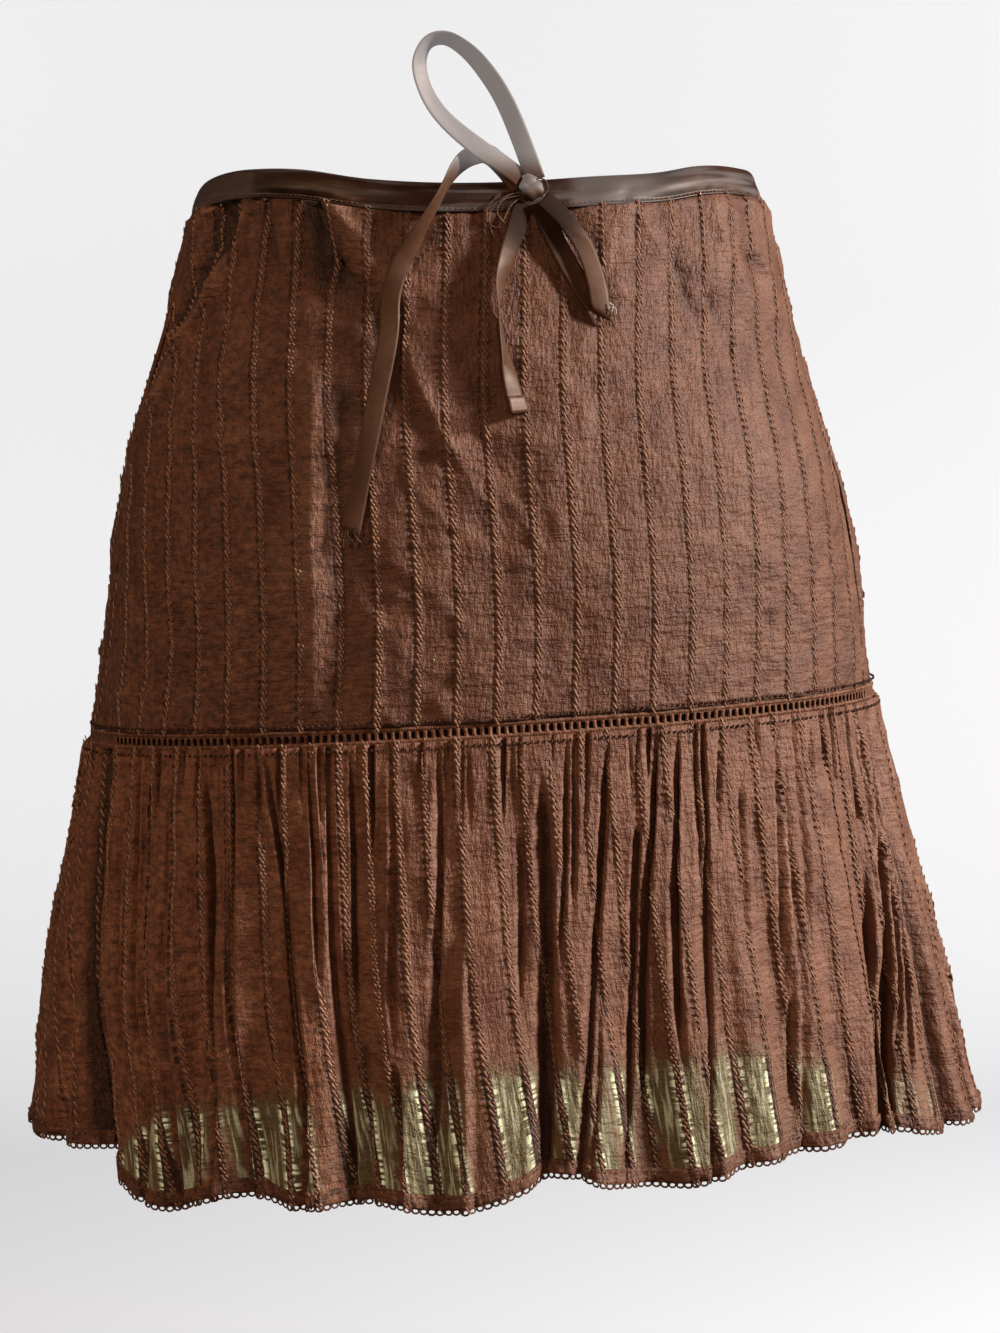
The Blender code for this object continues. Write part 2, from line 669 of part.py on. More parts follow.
def ribbon(name, stops, material):
    """A flat strip along its stops, as wide and thick as the ribbon."""
    middles, widths = [], []
    for stop in stops:
        point, outward, sideways, upright = front_frame(stop)
        slant, turn = math.radians(stop.slant), math.radians(stop.turn)
        level = sideways * math.cos(slant) + upright * math.sin(slant)
        middles.append(point)
        widths.append(level * math.cos(turn) + outward * math.sin(turn))
    middles, widths = np.array(middles), np.array(widths)
    at = np.arange((len(stops) - 1) * FACETS_PER_STOP + 1) / FACETS_PER_STOP
    middles, widths = through_stops(middles, at), through_stops(widths, at)
    along = np.gradient(middles, axis=0)
    along /= np.linalg.norm(along, axis=1)[:, None]
    widths /= np.linalg.norm(widths, axis=1)[:, None]
    faces = np.cross(along, widths)
    faces /= np.linalg.norm(faces, axis=1)[:, None]
    mesh = bmesh.new()
    corners = ((-1, -1), (1, -1), (1, 1), (-1, 1))
    sections = [[mesh.verts.new(middle + across * RIBBON_WIDTH / 2 * wide
                                + face * RIBBON_THICK / 2 * deep) for wide, deep in corners]
                for middle, across, face in zip(middles, widths, faces)]
    for section, following in zip(sections, sections[1:]):
        for corner in range(4):
            other = (corner + 1) % 4
            mesh.faces.new((section[corner], section[other], following[other], following[corner]))
    mesh.faces.new(reversed(sections[0]))
    mesh.faces.new(sections[-1])
    bmesh.ops.triangulate(mesh, faces=mesh.faces[:])
    add_object(name, mesh, material)


def ribbon_knot(material):
    point, outward, sideways, upright = front_frame(KNOT)
    mesh = bmesh.new()
    bmesh.ops.create_icosphere(mesh, subdivisions=2, radius=0.5)
    for vertex in mesh.verts:
        across, deep, high = vertex.co
        vertex.co = (point + sideways * across * KNOT_WIDTH + outward * deep * KNOT_DEPTH
                     + upright * high * KNOT_HEIGHT)
    bmesh.ops.recalc_face_normals(mesh, faces=mesh.faces)
    add_object("ribbon_knot", mesh, material)


# ---------------------------------------------------------------- main
def main():
    for piece in list(bpy.data.objects):
        bpy.data.objects.remove(piece, do_unlink=True)
    cotton = make_material("ribbed_cotton", (0.118, 0.052, 0.032), 0.85)
    satin = make_material("satin", (0.095, 0.045, 0.030), 0.38)
    lining_cloth = make_material("lining_cotton", (0.085, 0.036, 0.022), 0.8)
    waist_binding(satin)
    for panel in ("front", "back"):
        upper_panel(panel, cotton)
        ladder_insertion(panel, cotton)
        ruffle(panel, cotton)
        hem_edging(panel, cotton)
        lining(panel, lining_cloth)
    ribbon_knot(satin)
    for name, stops in RIBBONS.items():
        ribbon(name, stops, satin)


main()
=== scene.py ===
"""A tiered ruffle skirt in ribbed brown cotton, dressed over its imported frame.

The skirt is put together in the order a maker would sew it: upper tier, side
seams, waist binding, lining, ladder insertion, ruffle, hem and ribbon.  Lengths
are in metres, the front faces -Y, and the origin is the middle of the waist.
"""

import math
from collections import namedtuple

import bmesh
import bpy
import numpy as np
from mathutils import Matrix


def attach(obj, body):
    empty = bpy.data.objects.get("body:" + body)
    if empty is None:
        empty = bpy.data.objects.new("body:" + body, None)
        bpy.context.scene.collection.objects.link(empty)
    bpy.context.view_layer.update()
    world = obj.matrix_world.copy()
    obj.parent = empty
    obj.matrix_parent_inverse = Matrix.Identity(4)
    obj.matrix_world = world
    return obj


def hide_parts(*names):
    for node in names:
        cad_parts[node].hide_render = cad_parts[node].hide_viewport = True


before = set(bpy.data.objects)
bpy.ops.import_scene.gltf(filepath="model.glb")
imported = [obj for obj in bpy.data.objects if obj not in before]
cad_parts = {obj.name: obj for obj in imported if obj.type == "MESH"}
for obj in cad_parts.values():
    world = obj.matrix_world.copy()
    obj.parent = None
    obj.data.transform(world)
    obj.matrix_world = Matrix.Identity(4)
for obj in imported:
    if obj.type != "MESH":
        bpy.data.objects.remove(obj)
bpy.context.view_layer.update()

# ================================================================ camera
# A stills camera with a long lens, a little left of the front and level with
# the hips, tilted slightly down and rolled clockwise.
MM = 0.001
CAMERA_DISTANCE = 1.35
CAMERA_ROUND = math.radians(-2.25)
CAMERA_HEIGHT = -0.161
CAMERA_HEADING = math.radians(2.399)     # from +Y towards +X
CAMERA_PITCH = math.radians(3.336)
CAMERA_ROLL = math.radians(2.1)
CAMERA_LENS = 72.92


def in_scene(name, data):
    """A mesh, curve, lamp or camera, set in the scene as an object."""
    thing = bpy.data.objects.new(name, data)
    bpy.context.scene.collection.objects.link(thing)
    return thing


camera = in_scene("camera", bpy.data.cameras.new("camera"))
camera.data.lens = CAMERA_LENS
camera.data.clip_start = 0.05
camera.matrix_world = (
    Matrix.Translation((CAMERA_DISTANCE * math.sin(CAMERA_ROUND),
                        -CAMERA_DISTANCE * math.cos(CAMERA_ROUND),
                        CAMERA_HEIGHT))
    @ Matrix.Rotation(-CAMERA_HEADING, 4, "Z")
    @ Matrix.Rotation(math.pi / 2 - CAMERA_PITCH, 4, "X")
    @ Matrix.Rotation(-CAMERA_ROLL, 4, "Z")
)
bpy.context.scene.camera = camera
bpy.context.scene.view_settings.view_transform = "Standard"

# ================================================================ upper tier
# Two panels of cotton crepe with cords woven in, which run straight down and
# out into the shaped side seams.  The cloth is soft and creased, it drags from
# the waist to the hips, and a zigzag of heavy thread lies along every cord.
SEAM_GAP = 0.3 * MM
RING_POWER = 2.2            # 2 is an ellipse, more is squarer
RING_SAMPLES = 2881
BINDING_HEIGHT = 14 * MM
INSERTION_TOP = -0.2565
INSERTION_TILT = 4 * MM
RIB_PITCH = 18 * MM
RIB_WIDTH = 4.6 * MM
RIB_SHIFT = {"front": 0.3 * MM, "back": 0.0}
RIB_SWELL = 0.5 * MM
QUILTING = 0.35 * MM        # the cloth rounds out between cords
CLOTH_THICK = 0.5 * MM
NOISE_TABLE = 61, 67        # rows and columns after which uneven cloth repeats
UPPER_SEED = {"front": 3, "back": 5}
UPPER_ROWS = 84
UPPER_COLUMNS = {"front": 300, "back": 280}
PANEL_CENTRES = {"front": 0.0, "back": 180.0}


def table(kind, rows, in_mm=""):
    """Rows of plain numbers as named ones; the columns in `in_mm` are given in millimetres."""
    in_mm = [name in in_mm.split() for name in kind._fields]
    return tuple(kind(*(value * MM if scaled else value for value, scaled in zip(row, in_mm)))
                 for row in rows)


Section = namedtuple("Section", "z half_width front back middle")
BODY = table(Section, rows=(
    (0.000, 0.1365, 0.098, 0.104, 0.0000), (-0.0285, 0.1445, 0.105, 0.112, 0.0000),
    (-0.0585, 0.1520, 0.111, 0.119, -0.0015), (-0.1085, 0.1670, 0.121, 0.131, -0.0045),
    (-0.1585, 0.1805, 0.129, 0.140, -0.0030), (-0.2085, 0.1873, 0.134, 0.145, -0.0020),
    (-0.2655, 0.1950, 0.139, 0.148, -0.0055), (-0.3160, 0.2070, 0.149, 0.156, -0.0055),
    (-0.3770, 0.2224, 0.162, 0.170, -0.0055), (-0.4285, 0.2308, 0.173, 0.180, -0.0035),
    (-0.4750, 0.2415, 0.184, 0.191, -0.0025),
))
Seam = namedtuple("Seam", "z left right")      # side seams, degrees round
SEAMS = table(Seam, rows=(
    (0.000, -82.0, 82.0), (-0.100, -76.0, 78.0), (-0.265, -68.0, 70.0), (-0.370, -60.5, 65.0),
    (-0.475, -51.5, 61.0),
))
Lift = namedtuple("Lift", "angle lift")        # an edge raised or dropped
WAIST_LIFT = table(Lift, in_mm="lift", rows=(
    (-180.0, 0.0), (-90.0, 0.0), (-52.0, 3), (-36.0, 0.0), (-20.0, -7), (0.0, -11), (20.0, -9),
    (34.0, -7), (46.0, -3), (70.0, -1), (180.0, 0.0),
))
DRAG_AT_END = 0.4
Drag = namedtuple("Drag", "angle_from z_from angle_to z_to half_width depth")
# Broad soft folds, shared with the frame.
DRAGS = table(Drag, in_mm="half_width depth", rows=(
    (-58.0, -0.016, -64.0, -0.120, 12, -1.8), (-44.0, -0.016, -50.0, -0.075, 7, -1.8),
    (-34.0, -0.016, -16.0, -0.125, 9, -1.6), (-12.0, -0.080, 4.0, -0.165, 9, -1.5),
    (36.0, -0.020, 30.0, -0.120, 10, -1.3), (58.0, -0.020, 62.0, -0.130, 8, -1.6),
    (130.0, -0.016, 140.0, -0.110, 10, -2.0), (172.0, -0.020, 186.0, -0.130, 10, -1.8),
    (228.0, -0.016, 222.0, -0.100, 9, -2.2),
))
Crease = namedtuple("Crease", Drag._fields + ("end", "steep"), defaults=(1.0, 0.0))
# Sharper creases, pressed or pulled in.  A steep one breaks off on its right.
CREASES = table(Crease, in_mm="half_width depth", rows=(
    (-62.0, -0.016, -54.5, -0.028, 5.0, -5.5), (-54.5, -0.028, -47.0, -0.044, 4.0, -4.5, 0.2),
    (-66.5, -0.012, -62.5, -0.040, 2.2, 4.2, 0.3), (-49.0, -0.016, -55.5, -0.051, 2.6, 5.0),
    (-55.5, -0.051, -64.5, -0.075, 2.8, 5.0), (-64.5, -0.075, -65.5, -0.098, 2.8, 4.4, 0.8),
    (-65.5, -0.098, -77.0, -0.122, 2.8, 3.6, 0.3), (-59.0, -0.026, -72.0, -0.070, 6.0, -5.5),
    (-72.0, -0.070, -78.0, -0.105, 5.5, -4.5, 0.2), (-45.2, -0.011, -38.2, -0.046, 4.6, -6.5, 0.3, 2.6),
    (-41.0, -0.011, -37.0, -0.030, 3.0, 2.2), (-32.5, -0.011, -25.0, -0.045, 6.0, -7.5, 0.9, 3.2),
    (-25.0, -0.045, -15.0, -0.068, 5.2, -6.2, 0.3, 3.2), (-28.4, -0.014, -12.0, -0.062, 3.0, 3.6),
    (-14.0, -0.078, -6.5, -0.131, 4.4, -4.2, 0.4, 2.4), (-11.0, -0.085, -4.2, -0.131, 3.0, 2.4),
    (-4.2, -0.131, -1.0, -0.156, 2.5, 1.8), (-25.2, -0.100, -23.5, -0.244, 6, 3.4),
    (-20.6, -0.110, -19.4, -0.244, 5, -4.2, 0.8, 0.0), (34.2, -0.049, 37.8, -0.081, 3.4, -3.6, 0.2),
    (41.5, -0.067, 45.0, -0.096, 3.4, -3.6, 0.3), (54.0, -0.043, 68.5, -0.060, 3.4, -3.2, 0.3),
    (14.0, -0.020, 17.0, -0.075, 4.0, -2.2), (24.0, -0.014, 20.0, -0.048, 3.0, 2.0),
    (-49.5, -0.123, -30.8, -0.125, 1.7, 2.6), (-65.8, -0.243, -51.2, -0.242, 1.7, 2.4),
    (150.0, -0.020, 158.0, -0.060, 3, -3.0), (205.0, -0.018, 196.0, -0.070, 3.4, -3.0),
    (118.0, -0.030, 104.0, -0.075, 4, 2.6), (240.0, -0.030, 254.0, -0.080, 4, 2.6),
))


def smooth(rows, key, column, at):
    """A column of a table at `at`, on a smooth curve through its rows."""
    pairs = sorted((getattr(row, key), getattr(row, column)) for row in rows)
    x, y = (np.array(values) for values in zip(*pairs))
    slope = np.gradient(y, x)
    at = np.clip(at, x[0], x[-1])
    i = np.clip(np.searchsorted(x, at) - 1, 0, len(x) - 2)
    step = x[i + 1] - x[i]
    t = (at - x[i]) / step
    return ((1 + 2 * t) * (1 - t) ** 2 * y[i] + t * (1 - t) ** 2 * step * slope[i]
            + t * t * (3 - 2 * t) * y[i + 1] + t * t * (t - 1) * step * slope[i + 1])


def bump(distance, half_width):
    """1 on the line, falling to nearly 0 at twice the half width."""
    return np.exp(-(distance / half_width) ** 2)


def ease(value, low, high):
    """0 below `low`, 1 above `high`, and a smooth step between."""
    t = np.clip((value - low) / (high - low), 0.0, 1.0)
    return t * t * (3 - 2 * t)


def round_difference(angle, other):
    """Signed degrees between two directions, the short way round."""
    return (angle - other + 180.0) % 360.0 - 180.0


def soft_noise(x, y, seed):
    """Smooth values from -1 to 1 over a plane, about one bump for each unit."""
    rows, columns = NOISE_TABLE
    values = np.random.default_rng(seed).uniform(-1.0, 1.0, NOISE_TABLE)
    i, j = np.floor(x).astype(int), np.floor(y).astype(int)
    s, t = x - i, y - j
    s, t = s * s * (3 - 2 * s), t * t * (3 - 2 * t)
    near, far, left, right = j % columns, (j + 1) % columns, i % rows, (i + 1) % rows
    upper = values[left, near] * (1 - s) + values[right, near] * s
    lower = values[left, far] * (1 - s) + values[right, far] * s
    return upper * (1 - t) + lower * t


def fold_noise(x, y, seed):
    """Thin meandering ridges, 1 on their lines and 0 between them."""
    return (1 - np.abs(soft_noise(x, y, seed))) ** 5


Ring = namedtuple("Ring", "angle arc points outward")


def waist_line(angle):
    """Height of the waist's upper edge."""
    return smooth(WAIST_LIFT, "angle", "lift", round_difference(angle, 0.0))


def insertion_line(angle):
    """Height of the ladder insertion's upper edge."""
    return INSERTION_TOP + INSERTION_TILT * np.sin(np.radians(angle))


def between(upper_line, lower_line, share):
    """The line that lies `share` of the way down between two lines."""
    return lambda angle: (1 - share) * upper_line(angle) + share * lower_line(angle)


def below(line, drop):
    """The line that lies `drop` under another line."""
    return lambda angle: line(angle) - drop


def ring(line, centre):
    """The body's outside along a line of heights, with arcs from `centre` degrees."""
    angle = centre + np.linspace(-180.0, 180.0, RING_SAMPLES)
    z = line(angle)
    turn = np.radians(angle)
    sine, cosine = np.sin(turn), np.cos(turn)
    depth = np.where(cosine > 0, smooth(BODY, "z", "front", z), smooth(BODY, "z", "back", z))
    x = smooth(BODY, "z", "middle", z) + (
        smooth(BODY, "z", "half_width", z) * np.sign(sine) * np.abs(sine) ** (2 / RING_POWER))
    y = -depth * np.sign(cosine) * np.abs(cosine) ** (2 / RING_POWER)
    arc = np.concatenate(([0.0], np.cumsum(np.hypot(np.diff(x), np.diff(y)))))
    along = np.stack((np.gradient(x, arc), np.gradient(y, arc)))
    along /= np.hypot(*along)
    outward = np.stack((along[1], -along[0], np.zeros_like(z)))
    return Ring(angle, arc - arc[RING_SAMPLES // 2], np.stack((x, y, z)), outward)


def at_arcs(outline, arcs, values):
    """Values along a ring, read at the given arcs."""
    return np.stack([np.interp(arcs, outline.arc, row) for row in values])


def moved(outline, arcs, out):
    """Points of a ring at arcs, moved straight out by `out`."""
    return at_arcs(outline, arcs, outline.points) + at_arcs(outline, arcs, outline.outward) * out


def seam_arcs(outline, z, panel):
    """Where a panel starts and ends on a ring, short of the seams by half a gap."""
    left, right = (smooth(SEAMS, "z", side, z) for side in ("left", "right"))
    first, last = (left, right) if panel == "front" else (right, left + 360.0)
    arcs = np.interp((first, last), outline.angle, outline.arc)
    return arcs[0] + SEAM_GAP / 2, arcs[1] - SEAM_GAP / 2


def along_body(angle, middle, points):
    """How far points lie round the body from a direction."""
    return np.radians(round_difference(angle, middle)) * np.hypot(points[0], points[1])


def drags(angle, points):
    """How far the broad folds pull the upper tier in or out."""
    total = np.zeros_like(angle)
    for drag in DRAGS:
        share = np.clip((points[2] - drag.z_from) / (drag.z_to - drag.z_from), 0.0, 1.0)
        middle = drag.angle_from + share * (drag.angle_to - drag.angle_from)
        across = along_body(angle, middle, points)
        past = np.maximum(drag.z_to - points[2], 0.0)
        left = (1 - share * (1 - DRAG_AT_END)) * bump(past, 2 * drag.half_width)
        total += drag.depth * bump(across, drag.half_width) * left
    return total


def creases(angle, points):
    """How far sharper creases lift or sink the cloth, each fading past its ends."""
    total = np.zeros_like(angle)
    radius = np.hypot(points[0], points[1])
    for crease in CREASES:
        x = along_body(angle, crease.angle_from, points)
        y = points[2] - crease.z_from
        run_x = np.radians(crease.angle_to - crease.angle_from) * radius
        run_y = crease.z_to - crease.z_from
        share = np.clip((x * run_x + y * run_y) / (run_x ** 2 + run_y ** 2), 0.0, 1.0)
        distance = np.hypot(x - share * run_x, y - share * run_y)
        right = x * run_y < y * run_x
        away = distance / crease.half_width * (1 + crease.steep * right)
        left = 1 - (1 - crease.end) * share
        total += crease.depth * left * np.exp(-1.25 * away) * (1 + 0.7 * away)
    return total


def upper_line(share):
    """The line `share` of the way from the binding to the insertion."""
    top = below(waist_line, BINDING_HEIGHT + SEAM_GAP)
    return between(top, below(insertion_line, -SEAM_GAP), share)


def rib_swell(arcs, phase, start, end):
    """Cords raised in the cloth, with the cloth rounding out between them."""
    nearest = np.abs((arcs - phase + RIB_PITCH / 2) % RIB_PITCH - RIB_PITCH / 2)
    inside = ease(np.minimum(arcs - start, end - arcs), RIB_WIDTH / 2, RIB_WIDTH)
    cord = RIB_SWELL * bump(nearest, RIB_WIDTH / 2)
    return (cord + QUILTING * np.sin(math.pi * nearest / RIB_PITCH) ** 2) * inside


def upper_out(panel, outline, arcs, start, end):
    """All that lifts the upper tier off its ring, and the part of it that is folds, which its material
    paints as light and shade.
    """
    angle = np.interp(arcs, outline.arc, outline.angle)
    points = at_arcs(outline, arcs, outline.points)
    seed = UPPER_SEED[panel]
    z = points[2]
    under_binding = np.exp((z + BINDING_HEIGHT + 2 * MM) / (22 * MM))
    puckers = soft_noise(arcs / (5.5 * MM), z / (40 * MM), seed) * 1.5 * MM * under_binding
    rumple = soft_noise(arcs / (30 * MM), z / (46 * MM), seed + 1) * 2.0 * MM
    crinkle = soft_noise(arcs / (6 * MM), z / (7 * MM), seed + 2) * 0.5 * MM
    slanted = arcs + 0.8 * z
    ridges = fold_noise(slanted / (34 * MM), z / (52 * MM), seed + 4)
    rumple += ridges * (1.2 + 1.4 * under_binding) * MM
    cross = soft_noise(arcs / (15 * MM), z / (5.5 * MM), seed + 3)
    cross = np.maximum(cross - 0.45, 0.0) * 2.2 * MM
    free = ease(np.minimum(arcs - start, end - arcs), 0.0, 6 * MM)
    relief = drags(angle, points) + free * (creases(angle, points) + 0.6 * rumple + puckers)
    swell = rib_swell(arcs, RIB_SHIFT[panel], start, end)
    return relief + swell + free * (0.4 * rumple + crinkle + cross), relief


def mark(mesh, label, values, kind="FLOAT", key="value"):
    """Numbers or vectors kept on a mesh's points, for its material or its tree to read."""
    data = mesh.attributes.new(label, kind, "POINT").data
    data.foreach_set(key, values.astype(np.float32).ravel())


def cloth(name, rows, cut, material, thick=CLOTH_THICK, closed=False, marks=None):
    """A sheet over (3, columns) rows of points, top row first and facing out.

    Its UV map is `cut`, each point's place on the flat cloth in metres, and
    `marks` are further numbers for each point that a material reads."""
    points, uv = np.stack(rows).transpose(0, 2, 1), np.stack(cut)
    count, columns = points.shape[:2]
    mesh = bpy.data.meshes.new(name)
    across = np.arange(columns if closed else columns - 1)
    down = np.arange(count - 1)[:, None]
    after = (across + 1) % columns
    quads = np.stack((down * columns + across, (down + 1) * columns + across,
                      (down + 1) * columns + after, down * columns + after), axis=-1)
    mesh.from_pydata(points.reshape(-1, 3).tolist(), [], quads.reshape(-1, 4).tolist())
    places = np.broadcast_to(across, (count - 1, len(across)))
    left = np.stack((uv[down, places], uv[down + 1, places]), axis=2)
    following = uv[:, across] + (uv[:, 1:2] - uv[:, 0:1]) if closed else uv[:, 1:]
    right = np.stack((following[1:], following[:-1]), axis=2)
    corners = np.concatenate((left, right), axis=2).astype(np.float32)
    mesh.uv_layers.new(name="cut").uv.foreach_set("vector", corners.ravel())
    for label, values in (marks or {}).items():
        mark(mesh, label, np.stack(values))
    mesh.shade_smooth()
    mesh.materials.append(material)
    piece = in_scene(name, mesh)
    wall = piece.modifiers.new("wall", "SOLIDIFY")
    wall.thickness = thick
    wall.offset = -1
    return piece


def cut_row(across, down):
    """Places on the flat cloth for one row of points."""
    return np.stack((across, np.full_like(across, down)), axis=1)


def dress(piece, slot, *nodes):
    """A finished piece rides on the skirt and stands for its nodes, which it hides; `slot` is not used.
    """
    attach(piece, "root")
    if nodes:
        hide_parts(*nodes)


class Value:
    """An output inside a node tree.  Sums with it are written as on plain numbers."""

    def __init__(self, socket):
        self.socket = socket
        self.tree = socket.id_data

    def __add__(self, other):
        return maths("ADD", self, other)

    def __radd__(self, other):
        return maths("ADD", other, self)

    def __sub__(self, other):
        return maths("SUBTRACT", self, other)

    def __rsub__(self, other):
        return maths("SUBTRACT", other, self)

    def __mul__(self, other):
        return maths("MULTIPLY", self, other)

    def __truediv__(self, other):
        return maths("DIVIDE", self, other)

    def __rtruediv__(self, other):
        return maths("DIVIDE", other, self)

    def __pow__(self, other):
        return maths("POWER", self, other)


def fill(node, inputs):
    """A node's inputs, each given as a plain value or as another node's output."""
    for key, value in inputs.items():
        if isinstance(value, Value):
            value.tree.links.new(value.socket, node.inputs[key])
        else:
            node.inputs[key].default_value = value


def put(tree, kind, inputs=None, take=0, **settings):
    """A new node in a tree, and the output that is taken from it."""
    node = tree.nodes.new(kind)
    for key, value in settings.items():
        setattr(node, key, value)
    fill(node, inputs or {})
    return Value(node.outputs[take])


def shared_tree(*values):
    """The tree that the outputs among some values belong to."""
    return next(value.tree for value in values if isinstance(value, Value))


def maths(operation, *values):
    """A sum of numbers inside a tree."""
    return put(shared_tree(*values), "ShaderNodeMath", dict(enumerate(values)), operation=operation)


def new_tree(name, kind, inputs, outputs):
    """A node group with named sockets: what it is given, and the node that it ends in."""
    tree = bpy.data.node_groups.new(name, kind)
    for label, socket_type, value in inputs:
        socket = tree.interface.new_socket(label, in_out="INPUT", socket_type=socket_type)
        if value is not None:
            socket.default_value = value
    for label, socket_type in outputs:
        tree.interface.new_socket(label, in_out="OUTPUT", socket_type=socket_type)
    entry = tree.nodes.new("NodeGroupInput")
    return tree, lambda label: Value(entry.outputs[label]), tree.nodes.new("NodeGroupOutput")


def repeat_tree():
    """One small piece, set along each line again and again at a pitch."""
    tree, given, result = new_tree("set_along", "GeometryNodeTree", (
        ("Lines", "NodeSocketGeometry", None),
        ("Piece", "NodeSocketObject", None),
        ("Pitch", "NodeSocketFloat", 2.5 * MM),
        ("Slant", "NodeSocketFloat", 0.0),
        ("Uneven", "NodeSocketFloat", 0.12),
        ("Seed", "NodeSocketInt", 1),
        ("Material", "NodeSocketMaterial", None),
    ), (("Pieces", "NodeSocketGeometry"),))
    uneven, seed = given("Uneven"), given("Seed")
    curve = put(tree, "GeometryNodeMeshToCurve", {"Mesh": given("Lines")})
    curve = put(tree, "GeometryNodeResampleCurve", {"Curve": curve, "Length": given("Pitch")},
                mode="LENGTH")
    out = put(tree, "GeometryNodeInputNamedAttribute", {"Name": "out"}, data_type="FLOAT_VECTOR")
    turned = put(tree, "FunctionNodeAxesToRotation",
                 {"Primary Axis": out, "Secondary Axis": put(tree, "GeometryNodeInputTangent")},
                 primary_axis="Z", secondary_axis="X")
    angle = put(tree, "FunctionNodeRandomValue", {2: 0.0 - uneven, 3: uneven, "Seed": seed}, take=1)
    spin = put(tree, "ShaderNodeCombineXYZ", {2: given("Slant") + angle})
    spin = put(tree, "FunctionNodeEulerToRotation", {0: spin})
    turned = put(tree, "FunctionNodeRotateRotation", {"Rotation": turned, "Rotate By": spin},
                 rotation_space="LOCAL")
    size = put(tree, "FunctionNodeRandomValue",
               {2: 1.0 - uneven, 3: 1.0 + uneven, "Seed": seed + 7}, take=1)
    shape = put(tree, "GeometryNodeObjectInfo", {"Object": given("Piece")}, take="Geometry")
    made = put(tree, "GeometryNodeInstanceOnPoints",
               {"Points": curve, "Instance": shape, "Rotation": turned, "Scale": size})
    made = put(tree, "GeometryNodeRealizeInstances", {"Geometry": made})
    made = put(tree, "GeometryNodeSetMaterial", {"Geometry": made, "Material": given("Material")})
    fill(result, {0: made})
    return tree


SET_ALONG = repeat_tree()


def line_mesh(name, lines):
    """Loose lines of points, each point with its way out of the cloth."""
    mesh = bpy.data.meshes.new(name)
    points, edges = [], []
    for line, _ in lines:
        count = len(points)
        points += line.T.tolist()
        edges += [(k, k + 1) for k in range(count, len(points) - 1)]
    mesh.from_pydata(points, edges, [])
    mark(mesh, "out", np.concatenate([outward.T for _, outward in lines]), "FLOAT_VECTOR", "vector")
    return mesh


def plain_mesh(name, made_from):
    """What an object's modifiers or curve make, as a plain mesh."""
    depsgraph = bpy.context.evaluated_depsgraph_get()
    made = bpy.data.meshes.new_from_object(made_from.evaluated_get(depsgraph))
    made.name = name
    made.shade_smooth()
    return made


def set_along(name, slot, mesh, lines, material, **values):
    """A small shape repeated along lines, as one plain mesh that rides on the skirt."""
    values = {"piece": in_scene(name + "_shape", mesh), "material": material, **values}
    carrier = in_scene(name + "_lines", line_mesh(name + "_line", lines))
    modifier = carrier.modifiers.new("tree", "NODES")
    modifier.node_group = SET_ALONG
    for socket in SET_ALONG.interface.items_tree:
        if socket.in_out == "INPUT" and socket.name.lower() in values:
            modifier[socket.identifier] = values[socket.name.lower()]
    made = plain_mesh(name, carrier)
    carrier.modifiers.remove(modifier)
    bpy.data.objects.remove(carrier)
    bpy.data.objects.remove(values["piece"])
    dress(in_scene(name, made), slot)


def finished(name, shape):
    """A shape that was built up corner by corner, as a mesh that faces out."""
    bmesh.ops.recalc_face_normals(shape, faces=shape.faces)
    mesh = bpy.data.meshes.new(name)
    shape.to_mesh(mesh)
    shape.free()
    return mesh


def stitch_shape(name, *size):
    """One stitch, sized in mm: a rounded grain of thread along X, with its back to -Z."""
    shape = bmesh.new()
    bmesh.ops.create_icosphere(shape, subdivisions=1, radius=0.5)
    bmesh.ops.scale(shape, vec=[length * MM for length in size], verts=shape.verts)
    return finished(name, shape)


def skin(shape, rings):
    """Faces from each four-cornered ring of a tube to the next."""
    for before, after in zip(rings, rings[1:]):
        for k in range(4):
            shape.faces.new((before[k], before[(k + 1) % 4], after[(k + 1) % 4], after[k]))


def bundle(name, *tubes):
    """Small closed tubes lying along X, as one mesh.

    Each tube is a row of rings: place along, place across, half width, half height, in mm."""
    shape = bmesh.new()
    corners = [(math.cos(turn), math.sin(turn)) for turn in np.arange(4) * math.pi / 2]
    for tube in tubes:
        rings = [[shape.verts.new((along * MM, (across + c * wide) * MM, h * high * MM))
                  for c, h in corners] for along, across, wide, high in tube]
        skin(shape, rings)
        shape.faces.new(rings[0])
        shape.faces.new(reversed(rings[-1]))
    return finished(name, shape)


FLOAT_RINGS = ((-2.2, 0.0, 0.15, 0.10), (-1.2, 0.0, 0.56, 0.36),
               (1.2, 0.0, 0.56, 0.36), (2.2, 0.0, 0.15, 0.10))
BEAD_RINGS = ((-0.9, 1.35, 0.15, 0.10), (0.0, 1.45, 0.48, 0.34), (0.9, 1.50, 0.15, 0.10))
CORD_PITCH = {"front": 3.4 * MM, "back": 4.6 * MM}
CORD_SLANT = 0.46


def cords(name, panel, lines, seed):
    """Woven cords of slanting floats, on the front each with a bead of thread on its right."""
    twist = bundle("cord_twist", *((FLOAT_RINGS, BEAD_RINGS) if panel == "front" else (FLOAT_RINGS,)))
    set_along(name, "ribbed_cotton", twist, lines, rib_thread,
              pitch=CORD_PITCH[panel], slant=CORD_SLANT, seed=seed)


def colour_mix(factor, first, second, kind="MIX"):
    """Two colours mixed inside a shader tree."""
    return put(shared_tree(factor, first, second), "ShaderNodeMix", {0: factor, 6: first, 7: second}, 2,
               data_type="RGBA", blend_type=kind)


def mapped(value, from_low, from_high, to_low=0.0, to_high=1.0):
    """A number stretched from one range to another, held at its ends."""
    return put(value.tree, "ShaderNodeMapRange",
               {"Value": value, "From Min": from_low, "From Max": from_high,
                "To Min": to_low, "To Max": to_high})


